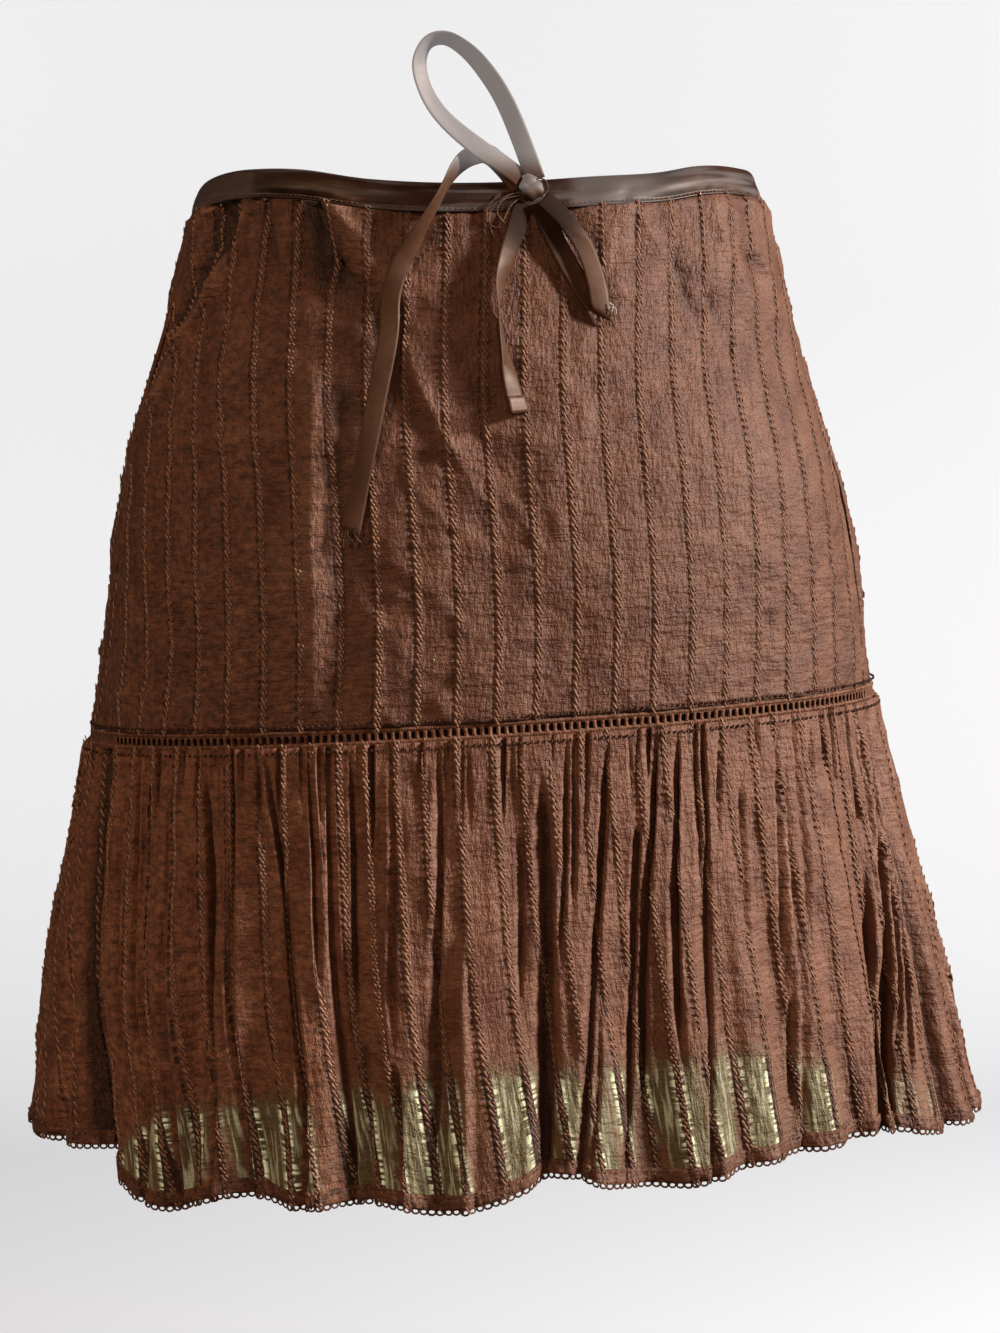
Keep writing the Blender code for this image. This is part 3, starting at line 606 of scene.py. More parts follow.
def noise(vector, scale, detail=2.0, roughness=0.5):
    """Noise from 0 to 1."""
    return put(vector.tree, "ShaderNodeTexNoise",
               {"Vector": vector, "Scale": scale, "Detail": detail, "Roughness": roughness})


def grain(vector, across, along, detail=1.0):
    """Noise from 0 to 1 with so many bumps for each unit across and along the cloth."""
    stretched = put(vector.tree, "ShaderNodeVectorMath", {0: vector, 1: (across, along, 1.0)},
                    operation="MULTIPLY")
    return noise(stretched, 1.0, detail)


def cloud_group():
    """Dye that has washed out unevenly: two colours in soft patches of two sizes."""
    tree, given, result = new_tree("uneven_dye", "ShaderNodeTree", (
        ("Vector", "NodeSocketVector", None),
        ("Deep", "NodeSocketColor", (0.1, 0.04, 0.03, 1.0)),
        ("Faded", "NodeSocketColor", (0.2, 0.1, 0.08, 1.0)),
        ("Patch", "NodeSocketFloat", 55.0),
    ), (("Colour", "NodeSocketColor"),))
    broad = noise(given("Vector"), given("Patch"), 3.0, 0.55)
    fine = noise(given("Vector"), given("Patch") * 9.0, 2.0, 0.6)
    share = mapped(broad * 0.7 + fine * 0.3, 0.36, 0.64)
    fill(result, {0: colour_mix(share, given("Deep"), given("Faded"))})
    return tree


def weave_group():
    """Threads of a crepe weave: a fine grid, thick slubs across and crinkles down."""
    tree, given, result = new_tree("crepe_weave", "ShaderNodeTree", (
        ("Vector", "NodeSocketVector", None),
        ("Thread", "NodeSocketFloat", 0.6 * MM),
    ), (("Height", "NodeSocketFloat"), ("Tone", "NodeSocketFloat")))
    grid = put(tree, "ShaderNodeVectorMath", {0: given("Vector"), "Scale": 1.0 / given("Thread")},
               operation="SCALE")
    threads = grain(grid, 1.0, 0.45) * 0.5 + grain(grid, 0.40, 1.0) * 0.5
    slub = mapped(grain(grid, 0.05, 0.6), 0.6, 0.75)
    crinkle = grain(grid, 0.30, 0.12, 3.0)
    pucker = grain(grid, 0.06, 0.19, 2.0)
    fill(result, {"Height": threads * 0.8 + crinkle * 1.5 + pucker * 2.0 + slub * 0.2,
                  "Tone": mapped(threads, 0.3, 0.7, 0.62, 1.34) + slub * 0.08})
    return tree


UNEVEN_DYE = cloud_group()
CREPE_WEAVE = weave_group()
CREPE_DEEP = (0.088, 0.026, 0.010, 1.0)
CREPE_FADED = (0.165, 0.066, 0.033, 1.0)
# Painted light: the ruffle's dye is the crepe's made lighter, to lift the shade in its folds.
SHEER_DEEP_LIT = (0.114, 0.035, 0.014, 1.0)
SHEER_FADED_LIT = (0.204, 0.084, 0.043, 1.0)
# The pale of raised folds, partly wear and partly painted highlight, and the painted shade of sunk
# folds and grooves, on the crepe and on the sheer ruffle.
CREPE_WEAR_AND_HIGHLIGHT = (0.235, 0.115, 0.070, 1.0)
CREPE_PAINTED_SHADE = (0.012, 0.003, 0.001, 1.0)
SHEER_PAINTED_SHADE = (0.034, 0.010, 0.004, 1.0)
SHEER_SHADE = (0.128, 0.100, 0.043, 1.0)    # painted backlight: thin cloth with light behind it
SHEER_LIGHT = (0.860, 0.880, 0.550, 1.0)    # painted glow where its threads stand apart
RIB_GROUND = (0.070, 0.021, 0.009, 1.0)
CREPE_SHEEN = (1.0, 0.84, 0.78, 1.0)
WHITE = (1.0, 1.0, 1.0, 1.0)
BLACK = (0.0, 0.0, 0.0, 1.0)
LEFT_HALF = (0.0, -0.12)                    # from the middle to the skirt's left, where light and shade are painted in most


def new_material(name, roughness, sheen=0.0, anisotropic=0.0, gloss=0.08):
    """A cloth material: its tree, its shader and the cut's UV vector."""
    material = bpy.data.materials.new(name)
    material.use_nodes = True
    tree = material.node_tree
    shader = tree.nodes["Principled BSDF"]
    fill(shader, {"Roughness": roughness, "Specular IOR Level": gloss, "Sheen Weight": sheen,
                  "Sheen Roughness": 0.5, "Sheen Tint": CREPE_SHEEN, "Anisotropic": anisotropic})
    return material, tree, shader, put(tree, "ShaderNodeUVMap", uv_map="cut")


def raised(shader, height, distance, strength=1.0):
    """Relief on a material's surface."""
    fill(shader, {"Normal": put(height.tree, "ShaderNodeBump", {
        "Height": height, "Distance": distance, "Strength": strength})})


def dyed(cut, deep, faded, patch=55.0):
    """Unevenly washed-out dye on a cut."""
    inputs = {"Vector": cut, "Deep": deep, "Faded": faded, "Patch": patch}
    return put(cut.tree, "ShaderNodeGroup", inputs, node_tree=UNEVEN_DYE)


def woven(cut, thread_width=0.6 * MM):
    """Height and tone of a cut's weave."""
    inputs = {"Vector": cut, "Thread": thread_width}
    height = put(cut.tree, "ShaderNodeGroup", inputs, node_tree=CREPE_WEAVE)
    return height, Value(height.socket.node.outputs["Tone"])


def marked(tree, label):
    """One of the numbers that a mesh carries at its points."""
    return put(tree, "ShaderNodeAttribute", take="Fac", attribute_name=label)


def first_of(vector):
    """The X of a vector."""
    return put(vector.tree, "ShaderNodeSeparateXYZ", {0: vector})


def crepe(name, rib_pitch, sheer=False):
    """Ribbed cotton crepe, with a groove and a painted shadow down the left of every cord.

    The mark `relief` is how far folds lift the cloth: raised folds are painted pale, partly as
    wear and partly as painted highlight, and sunk ones are painted dark as painted shade.

    Where it is sheer, below the line that the mark `under_lining` gives in metres, the thin cloth lets
    a little light through, and is painted khaki and made to glow as painted backlight, most beside the
    cords."""
    material, tree, shader, cut = new_material(name, 0.60, sheen=0.05, gloss=0.42)
    height, tone = woven(cut)
    beside = (maths("FRACT", first_of(cut) / rib_pitch + 0.5) - 0.5) * rib_pitch
    wander = grain(cut, 300.0, 260.0) - 0.5
    beside = beside + wander * (0.9 * MM)
    from_rib = maths("ABSOLUTE", beside)
    rib = mapped(from_rib, 2.3 * MM, 1.8 * MM)
    # The groove left of each cord: dented in the bump, and painted dark as its shadow.
    groove_and_shade = mapped(beside, -2.9 * MM, -2.4 * MM) * mapped(beside, -1.3 * MM, -1.7 * MM)
    groove_and_shade = groove_and_shade * mapped(grain(cut, 90.0, 420.0, 0.0), 0.38, 0.58)
    relief = marked(tree, "relief")
    dye = dyed(cut, *((SHEER_DEEP_LIT, SHEER_FADED_LIT) if sheer else (CREPE_DEEP, CREPE_FADED)))
    # Raised folds painted pale, partly wear and partly painted highlight; sunk ones painted dark as
    # painted shade.
    colour = colour_mix(mapped(relief, 0.3 * MM, 3.5 * MM, 0.0, 0.65), dye, CREPE_WEAR_AND_HIGHLIGHT)
    if sheer:
        colour = colour_mix(mapped(relief, -1.5 * MM, -5.0 * MM, 0.0, 0.90), colour, SHEER_PAINTED_SHADE)
    else:
        colour = colour_mix(mapped(relief, -1.4 * MM, -5.0 * MM, 0.0, 0.80), colour, CREPE_PAINTED_SHADE)
    colour = colour_mix(rib * 0.25, colour, RIB_GROUND)
    # Painted light and shade towards the skirt's left, where the lamps leave the relief flat: the
    # cord's shadow is painted darker there, and the slubs' light and dark grow stronger, lighter on the
    # ruffle.
    left = mapped(first_of(put(tree, "ShaderNodeTexCoord", take="Object")), *LEFT_HALF)
    colour = colour_mix(groove_and_shade * mapped(left, 0.0, 1.0, 0.38, 0.80), colour, CREPE_PAINTED_SHADE)
    slubs = (0.68, 1.75) if sheer else (0.58, 1.50)
    slubs = mapped(grain(cut, 230.0, 300.0, 2.0), 0.32, 0.68, *slubs)
    colour = colour_mix(1.0, colour, tone * slubs ** left, "MULTIPLY")
    if sheer:
        # On the ruffle even small gathers are painted pale, partly wear and partly painted highlight.
        colour = colour_mix(mapped(relief, 0.15 * MM, 0.7 * MM, 0.0, 0.35), colour, CREPE_WEAR_AND_HIGHLIGHT)
        # Painted backlight: below the lining's line the thin cloth is painted khaki and glows through
        # its emission, and lets a little real light through its alpha.
        lit = mapped(marked(tree, "under_lining") + wander * (7.0 * MM), -8.0 * MM, 4.0 * MM)
        # Less painted backlight in deep folds, and on the right where the ruffle row dims it.
        glow_kept = mapped(marked(tree, "in_fold"), 2.0 * MM, 0.6 * MM)
        plain = lit * glow_kept * (1.0 - rib)
        panes = mapped(grain(cut, 44.0, 6.0), 0.42, 0.50)
        teeth = mapped(grain(cut, 90.0, 560.0), 0.46, 0.56)
        drawn = mapped(grain(cut, 620.0, 50.0, 2.0), 0.50, 0.62)
        near = mapped(from_rib, 4.8 * MM, 2.6 * MM)
        apart = maths("MAXIMUM", near * teeth, drawn * 0.28) * (panes * mapped(lit, 0.55, 1.0))
        glow = colour_mix(1.0, colour_mix(apart, SHEER_SHADE, SHEER_LIGHT), tone, "MULTIPLY")
        colour = colour_mix(plain * (panes * 0.8 + 0.12), colour, glow)
        # The cords are painted dark against the painted backlight.
        colour = colour_mix(lit * rib * 0.75, colour, CREPE_PAINTED_SHADE)
        fill(shader, {"Alpha": 1.0 - plain * (apart * 0.2),
                      "Emission Color": colour_mix(plain * apart, BLACK, SHEER_LIGHT),
                      "Emission Strength": 0.27})
    fill(shader, {"Base Color": colour})
    raised(shader, height - groove_and_shade * 0.7, 0.8 * MM)
    return material


def thread(name, deep, faded, painted_light_left=WHITE):
    """Spun cotton thread, fuzzy and uneven in colour, and painted paler towards the skirt's left as
    painted highlight.
    """
    material, tree, shader, _ = new_material(name, 0.85, sheen=0.15)
    place = put(tree, "ShaderNodeTexCoord", take="Object")
    colour = colour_mix(mapped(noise(place, 420.0), 0.35, 0.65), deep, faded)
    # Painted highlight: the thread is made paler towards the skirt's left.
    left_highlight = colour_mix(mapped(first_of(place), *LEFT_HALF), WHITE, painted_light_left)
    fill(shader, {"Base Color": colour_mix(1.0, colour, left_highlight, "MULTIPLY")})
    raised(shader, noise(place, 2600.0, 1.0), 0.12 * MM)
    return material


upper_crepe = crepe("ribbed_crepe", RIB_PITCH)
rib_thread = thread("rib_thread", (0.145, 0.066, 0.036, 1.0), (0.330, 0.182, 0.116, 1.0),
                    painted_light_left=(1.50, 1.62, 1.75, 1.0))

for panel in ("front", "back"):
    phase = RIB_SHIFT[panel]
    grid, flat, reliefs, ribs = [], [], [], {}
    for share in np.linspace(0.0, 1.0, UPPER_ROWS):
        outline = ring(upper_line(share), PANEL_CENTRES[panel])
        z = outline.points[2].mean()
        start, end = seam_arcs(outline, z, panel)
        arcs = np.linspace(start, end, UPPER_COLUMNS[panel] + 1)
        out, relief = upper_out(panel, outline, arcs, start, end)
        grid.append(moved(outline, arcs, out))
        reliefs.append(relief)
        flat.append(cut_row(arcs - phase, -z))
        first = math.ceil((start + RIB_WIDTH - phase) / RIB_PITCH)
        last = math.floor((end - RIB_WIDTH - phase) / RIB_PITCH)
        numbers = np.arange(first, last + 1)
        rib_arcs = phase + RIB_PITCH * numbers
        on_ribs = moved(outline, rib_arcs, upper_out(panel, outline, rib_arcs, start, end)[0])
        outward = at_arcs(outline, rib_arcs, outline.outward)
        for k, number in enumerate(numbers):
            ribs.setdefault(number, []).append((on_ribs[:, k], outward[:, k]))
    piece = cloth(f"upper_{panel}_crepe", grid, flat, upper_crepe, marks={"relief": reliefs})
    dress(piece, "ribbed_cotton", f"upper_{panel}")
    lines = [[np.stack(column, axis=1) for column in zip(*rib)]
             for rib in ribs.values() if len(rib) > 3]
    cords(f"upper_{panel}_ribs", panel, lines, seed=2)

# ================================================================ side seams
# Flat-felled seams: the back panel's edge is folded over the front panel's and
# stitched down twice, which leaves a low strip with a ridge on each side.
FELL_WIDTH = 6.5 * MM
FELL_COLUMNS = np.linspace(-1.0, 1.0, 9)
AWAY_FROM_CORDS = 0.4       # keeps a plain strip's cut clear of the only cord of its crepe
FELL_SHAPE = np.array((0.0, 0.85, 1.0, 0.55, 0.45, 0.55, 1.0, 0.85, 0.0)) * 0.9 * MM

fell_crepe = crepe("seam_crepe", 1.0)
for side in ("left", "right"):
    grid, flat = [], []
    for share in np.linspace(0.0, 1.0, UPPER_ROWS):
        outline = ring(upper_line(share), 0.0)
        z = outline.points[2].mean()
        seam = np.interp(smooth(SEAMS, "z", side, z), outline.angle, outline.arc)
        arcs = seam + FELL_COLUMNS * FELL_WIDTH / 2
        angle = np.interp(arcs, outline.arc, outline.angle)
        pull = drags(angle, at_arcs(outline, arcs, outline.points))
        ripple = soft_noise(arcs / (3 * MM), z / (6 * MM), 8) * 0.2 * MM
        grid.append(moved(outline, arcs, pull + FELL_SHAPE + ripple + 0.1 * MM))
        flat.append(cut_row(arcs - seam + AWAY_FROM_CORDS, -z))
    dress(cloth(f"side_seam_{side}", grid, flat, fell_crepe, thick=0.3 * MM), "ribbed_cotton")

# ================================================================ waist binding
# A bias strip of satin folded over the top edge, puckered where its lower edge
# is stitched down.  It is the channel that the ribbon comes out of.
BINDING_COLUMNS = 400
# Out from the ring and down from the edge in mm, from inside the skirt to outside.
BINDING_PROFILE = MM * np.array((
    (-3.1, 13.9), (-3.3, 10.0), (-3.3, 5.0), (-3.1, 2.0), (-2.5, 0.7), (-1.6, 0.1), (-0.8, 0.3),
    (-0.1, 1.2), (0.35, 3.0), (0.6, 5.5), (0.7, 8.0), (0.55, 10.2), (0.2, 11.6), (0.05, 12.3),
    (0.5, 12.8), (0.75, 13.4), (0.5, 14.0), (0.0, 14.2),
))
SATIN_DEEP = (0.010, 0.003, 0.002, 1.0)
SATIN_FADED = (0.045, 0.015, 0.008, 1.0)
SATIN_SHINE = (0.155, 0.146, 0.146, 1.0)    # painted light: the grey of painted backlight, sheen streaks and reflections


def satin(name, deep, faded, roughness, patch, uneven, sheen_streaks=0.0, backlit=0.0):
    """Satin: long floats of thread with a soft shine, and grey sheen streaks painted into its colour.

    The mark `turned` paints it grey as painted highlight and reflection, and it glows by `backlit` as
    painted backlight; where the knot shades it, a second mark paints it deep as painted shade."""
    material, tree, shader, cut = new_material(name, roughness, sheen=0.05, anisotropic=0.5, gloss=0.30)
    turned, tucked = marked(tree, "turned"), marked(tree, "tucked")
    # Painted sheen: grey streaks along the satin.
    sheen_streak = mapped(grain(cut, 16.0, 240.0), 0.50, 0.60, 0.0, sheen_streaks)
    colour = colour_mix(maths("MAXIMUM", sheen_streak, turned), dyed(cut, deep, faded, patch), SATIN_SHINE)
    # Painted shade: the satin is made deep where the knot shades it.
    colour = colour_mix(tucked, colour, SATIN_DEEP)
    floats = grain(cut, 4200.0, 160.0, 2.0)
    rough = mapped(grain(cut, 14.0, 170.0, 2.0), 0.3, 0.7,
                   roughness - uneven / 2, roughness + uneven / 2)
    fill(shader, {
        "Base Color": colour_mix(1.0, colour, mapped(floats, 0.2, 0.8, 0.82, 1.18), "MULTIPLY"),
        "Roughness": rough + tucked * 0.35,
        "Specular Tint": (1.0, 0.80, 0.68, 1.0),
        # Painted backlight: where `turned`, the satin glows grey by `backlit`.
        "Emission Color": colour_mix(turned, BLACK, SATIN_SHINE),
        "Emission Strength": backlit,
    })
    raised(shader, floats, 0.06 * MM, 0.6)
    return material


def round_arcs(outline, count):
    """Evenly spaced arcs all the way round a ring."""
    return outline.arc[0] + (outline.arc[-1] - outline.arc[0]) * np.arange(count) / count


binding_satin = satin("binding_satin", SATIN_DEEP, SATIN_FADED, 0.46, 26.0, 0.34, sheen_streaks=0.40)
grid, flat, turned, along_profile = [], [], [], 0.0
for k, (out, drop) in enumerate(BINDING_PROFILE):
    outline = ring(below(waist_line, drop), 0.0)
    arcs = round_arcs(outline, BINDING_COLUMNS)
    outside = ease(k, 7.0, 9.0)
    lean = arcs + 0.7 * drop
    pucker = soft_noise(lean / (4.6 * MM), 0.5, 11) * bump(drop - 11.5 * MM, 4.5 * MM)
    crush = soft_noise(lean / (16 * MM), drop / (7 * MM), 12)
    grid.append(moved(outline, arcs, out + outside * (0.45 * MM * pucker + 0.5 * MM * crush)))
    if k:
        along_profile += math.hypot(*(BINDING_PROFILE[k] - BINDING_PROFILE[k - 1]))
    flat.append(cut_row(arcs, along_profile))
    angle = np.interp(arcs, outline.arc, outline.angle)
    # Painted reflection: the binding is painted grey at its left end and just right of the knot.
    left_end = 0.26 * ease(-angle, 48.0, 50.0) * ease(angle, -95.0, -80.0)
    turned.append(left_end + 0.48 * ease(angle, 13.0, 17.0) * ease(-angle, -44.0, -24.0))
piece = cloth("waist_binding_satin", grid, flat, binding_satin, thick=0.4 * MM, closed=True,
              marks={"turned": turned})
dress(piece, "satin", "waist_binding")


def level_line(outline, start, end, out, points=500):
    """A line along a ring, held `out` off it, and its ways out."""
    arcs = np.linspace(start, end, points)
    return moved(outline, arcs, out), at_arcs(outline, arcs, outline.outward)


binding_thread = thread("binding_thread", (0.12, 0.075, 0.05, 1.0), (0.26, 0.19, 0.13, 1.0))
outline = ring(below(waist_line, 12.5 * MM), 0.0)
line = level_line(outline, outline.arc[0], outline.arc[-1], 0.5 * MM, points=700)
set_along("binding_stitches", "satin", stitch_shape("binding_stitch", 2.0, 0.45, 0.45), [line],
          binding_thread, pitch=2.6 * MM, slant=0.5, seed=4)

# ================================================================ lining
# A plain opaque tube sewn into the waist, with a narrow turned hem.  It stops
# short of the skirt, so the ruffle is sheer below it.
LINING_HEM = -0.418
LINING_ROWS = 42
LINING_COLUMNS = 220
LINING_HEM_BAND = 9 * MM
Inset = namedtuple("Inset", "z inset")
LINING_INSETS = table(Inset, in_mm="inset", rows=(
    (0.000, 2.1), (-0.028, 4.0), (-0.070, 5.4), (-0.200, 4.8), (-0.262, 9.0), (-0.316, 21.0),
    (-0.377, 36.0), (-0.425, 46.0),
))


def lining_line(angle):
    """Height of the lining's lower edge."""
    return np.full_like(angle, LINING_HEM)


# Plain cotton lawn with a fine even weave.
lawn, tree, shader, cut = new_material("lining_lawn", 0.75, sheen=0.1)
height, tone = woven(cut, 0.35 * MM)
dye = dyed(cut, (0.058, 0.026, 0.018, 1.0), (0.092, 0.045, 0.031, 1.0))
fill(shader, {"Base Color": colour_mix(1.0, dye, tone, "MULTIPLY")})
raised(shader, height, 0.1 * MM)

lining_top = below(waist_line, BINDING_HEIGHT - 2 * MM)
grid, flat = [], []
for share in np.linspace(0.0, 1.0, LINING_ROWS):
    outline = ring(between(lining_top, lining_line, share), 0.0)
    arcs = round_arcs(outline, LINING_COLUMNS)
    points = at_arcs(outline, arcs, outline.points)
    angle = np.interp(arcs, outline.arc, outline.angle)
    inset = smooth(LINING_INSETS, "z", "inset", points[2])
    band = 0.35 * MM * ease(points[2] - LINING_HEM, LINING_HEM_BAND, LINING_HEM_BAND - 1 * MM)
    ripple = soft_noise(arcs / (26 * MM), points[2] / (90 * MM), 21) * 1.2 * MM * share
    ripple -= 2.2 * MM * bump(points[2] + 0.035, 30 * MM)
    pressed = np.minimum(creases(angle, points), 0.0)
    grid.append(moved(outline, arcs, drags(angle, points) + pressed - inset + band + ripple - 0.6 * MM))
    flat.append(cut_row(arcs, -points[2]))
piece = cloth("lining_tube", grid, flat, lawn, closed=True)
dress(piece, "lining_cotton", "lining_front", "lining_back")

# ================================================================ ladder insertion
# A hem-stitched tape between the tiers: two narrow rails of stitching joined by
# bundles of thread, with a row of open holes through which the dark shows.
INSERTION_HEIGHT = 8 * MM
RAIL_HEIGHT = 2.5 * MM
RAIL_COLUMNS = {"front": 260, "back": 300}
RAIL_PROFILE = ((0.0, -0.5), (0.12, 0.25), (0.35, 0.6), (0.6, 0.3), (0.85, 0.45), (1.0, -0.4))
RUNG_PITCH = 3.64 * MM
RUNG_ENDS = {"front": (-64.3, 70.0), "back": (84.0, 276.0)}      # degrees: plain cloth beyond
# Stations as bundle() takes them; a rung is drawn in at the middle.
RUNG = ((-2.1, 0.0, 1.25, 0.42), (-1.0, 0.0, 0.95, 0.45), (0.0, 0.0, 0.80, 0.45),
        (1.0, 0.0, 0.95, 0.45), (2.1, 0.0, 1.25, 0.42))
HOLE = ((-0.8, 0.0, 0.2, 0.3), (0.0, 0.0, 0.7, 0.6), (0.8, 0.0, 0.2, 0.3))
HOLE_PITCH = 2.9 * MM

tape_cotton = thread("tape_cotton", (0.105, 0.038, 0.018, 1.0), (0.235, 0.112, 0.068, 1.0))
needle_hole = thread("needle_hole", (0.010, 0.003, 0.001, 1.0), (0.030, 0.010, 0.004, 1.0))
tape_crepe = crepe("tape_crepe", 1.0)


def tape_ring(panel, drop):
    """A panel's ring `drop` under the insertion's upper edge, and where it starts and ends."""
    outline = ring(below(insertion_line, drop), PANEL_CENTRES[panel])
    return outline, *seam_arcs(outline, INSERTION_TOP, panel)


for panel in ("front", "back"):
    for name, top, slant in (("upper", 0.0, 0.9), ("lower", INSERTION_HEIGHT - RAIL_HEIGHT, -0.9)):
        grid, flat = [], []
        for down, out in RAIL_PROFILE:      # down the rail, out in mm
            outline, start, end = tape_ring(panel, top + down * RAIL_HEIGHT)
            arcs = np.linspace(start, end, RAIL_COLUMNS[panel])
            knots = soft_noise(arcs / (1.3 * MM), down * 3, 31) * 0.4 * MM
            grid.append(moved(outline, arcs, out * MM + knots * bump(down - 0.5, 0.5)))
            flat.append(cut_row(arcs, down * RAIL_HEIGHT))
        piece = cloth(f"ladder_{panel}_{name}_rail", grid, flat, tape_cotton, thick=0.4 * MM)
        dress(piece, "ribbed_cotton", f"ladder_{panel}")
        outline, start, end = tape_ring(panel, top + RAIL_HEIGHT / 2)
        line = level_line(outline, start, end, 0.7 * MM)
        purl = stitch_shape("purl", 1.5, 0.5, 0.5)
        set_along(f"ladder_{panel}_{name}_stitches", "ribbed_cotton", purl, [line], tape_cotton,
                  pitch=1.3 * MM, slant=slant, seed=6)
    outline, start, end = tape_ring(panel, INSERTION_HEIGHT / 2)
    ends = np.interp(RUNG_ENDS[panel], outline.angle, outline.arc)
    line = level_line(outline, *ends, 0.0)
    set_along(f"ladder_{panel}_rungs", "ribbed_cotton", bundle("rung", RUNG), [line], tape_cotton,
              pitch=RUNG_PITCH, slant=math.pi / 2, uneven=0.10, seed=9)
    for name, first, last in (("start", start, ends[0] - 0.6 * MM), ("end", ends[1] + 0.6 * MM, end)):
        arcs = np.linspace(first, last, 16)
        grid, flat = [], []
        for down in np.linspace(RAIL_HEIGHT / 2, INSERTION_HEIGHT - RAIL_HEIGHT / 2, 7):
            outline = ring(below(insertion_line, down), PANEL_CENTRES[panel])
            ripple = soft_noise(arcs / (3 * MM), down / (2 * MM), 33) * 0.25 * MM
            grid.append(moved(outline, arcs, ripple))
            flat.append(cut_row(arcs + AWAY_FROM_CORDS, down))
        dress(cloth(f"ladder_{panel}_{name}_block", grid, flat, tape_crepe), "ribbed_cotton")

# Lines of stitching on the cloth above and below the tape, with dark needle holes.
STITCH_LINES = (("above", -2.0 * MM, 1.3 * MM), ("under", INSERTION_HEIGHT + 1.8 * MM, 2.7 * MM))
for panel in ("front", "back"):
    for name, drop, out in STITCH_LINES:
        outline, start, end = tape_ring(panel, drop)
        line = level_line(outline, start + 2 * MM, end - 2 * MM, out, points=600)
        set_along(f"tape_{panel}_{name}_holes", "ribbed_cotton", bundle("needle_hole", HOLE), [line],
                  needle_hole, pitch=HOLE_PITCH, slant=0.9, uneven=0.2, seed=12)
        set_along(f"tape_{panel}_{name}_stitches", "ribbed_cotton", stitch_shape("tick", 1.7, 0.6, 0.9),
                  [line], tape_cotton, pitch=HOLE_PITCH, slant=0.1, uneven=0.15, seed=12)

# ================================================================ ruffle
# Two straight lengths of the same crepe, gathered into the insertion.  The
# gathers are tight and sharp at the top and merge into fewer, deeper folds.
HEM = -0.4622
RUFFLE_ROWS = 56
COLUMNS_PER_RIB = {"front": 16, "back": 8}
GATHERS = {"front": 52, "back": 96}
BACK_FOLDS = 33
RUFFLE_SEED = {"front": 51, "back": 55}
RUFFLE_DROP = 0.2           # flat height of the two lengths
CLOTH_STEP = 0.4 * MM
HEM_LIFT = table(Lift, in_mm="lift", rows=(
    (-180.0, 0.0), (-120.0, 4), (-80.0, 10), (-64.0, 13), (-56.0, 12.5), (-50.5, 7), (-45.0, -3),
    (-39.5, -7.5), (-31.0, 1), (-23.0, -3), (-13.0, -2), (-6.0, -6), (-1.0, 0.0), (2.5, 7), (8.0, 2),
    (15.0, -1), (24.0, 5), (34.0, 8), (46.0, 10), (54.0, 4), (75.0, 0.0), (120.0, -2), (180.0, 0.0),
))
SideFold = namedtuple("SideFold", "seam half_width depth start strength wide")
# Folds at the side seams: strength and wide set how dark and how wide their painted shade is.
SIDE_FOLDS = table(SideFold, in_mm="half_width depth", rows=(
    ("left", 10.5, 24, -0.30, 1.0, 1.7), ("right", 10, 20, -0.25, 0.30, 0.7),
))
Trough = namedtuple("Trough", "angle lean half_width depth start")
# Broad waves, shared with the frame.
TROUGHS = table(Trough, in_mm="half_width depth", rows=(
    (-64.0, -3.0, 7, 8, 0.35), (-37.5, 1.5, 9, 10, 0.00), (-27.0, 1.0, 12, 8, 0.10),
    (-15.5, -1.0, 10, 10, 0.05), (-7.0, 0.0, 7, 6, 0.30), (3.0, -1.5, 7, 7, 0.00),
    (12.5, 0.5, 12, 14, 0.15), (23.5, 1.0, 7, 6, 0.20), (31.0, 1.5, 9, 9, 0.05),
    (40.0, 1.0, 9, 7, 0.30), (49.0, 2.0, 8, 8, 0.10), (73.0, 0.0, 9, 8, 0.10),
    (84.0, 1.0, 11, 10, 0.00), (97.0, -1.0, 9, 8, 0.20), (109.0, 0.0, 11, 13, 0.05),
    (122.0, 1.0, 9, 8, 0.25), (133.0, 0.0, 10, 11, 0.00), (146.0, -1.0, 8, 7, 0.30),
    (157.0, 1.0, 12, 13, 0.05), (170.0, 0.0, 8, 8, 0.20), (181.0, 1.0, 11, 11, 0.00),
    (194.0, -1.0, 9, 7, 0.30), (205.0, 0.0, 11, 13, 0.10), (218.0, 1.0, 9, 9, 0.00),
    (230.0, 0.0, 10, 11, 0.20), (243.0, -1.0, 8, 7, 0.10), (254.0, 0.0, 11, 12, 0.00),
    (267.0, 1.0, 9, 8, 0.25), (279.0, 0.0, 9, 9, 0.05),
))
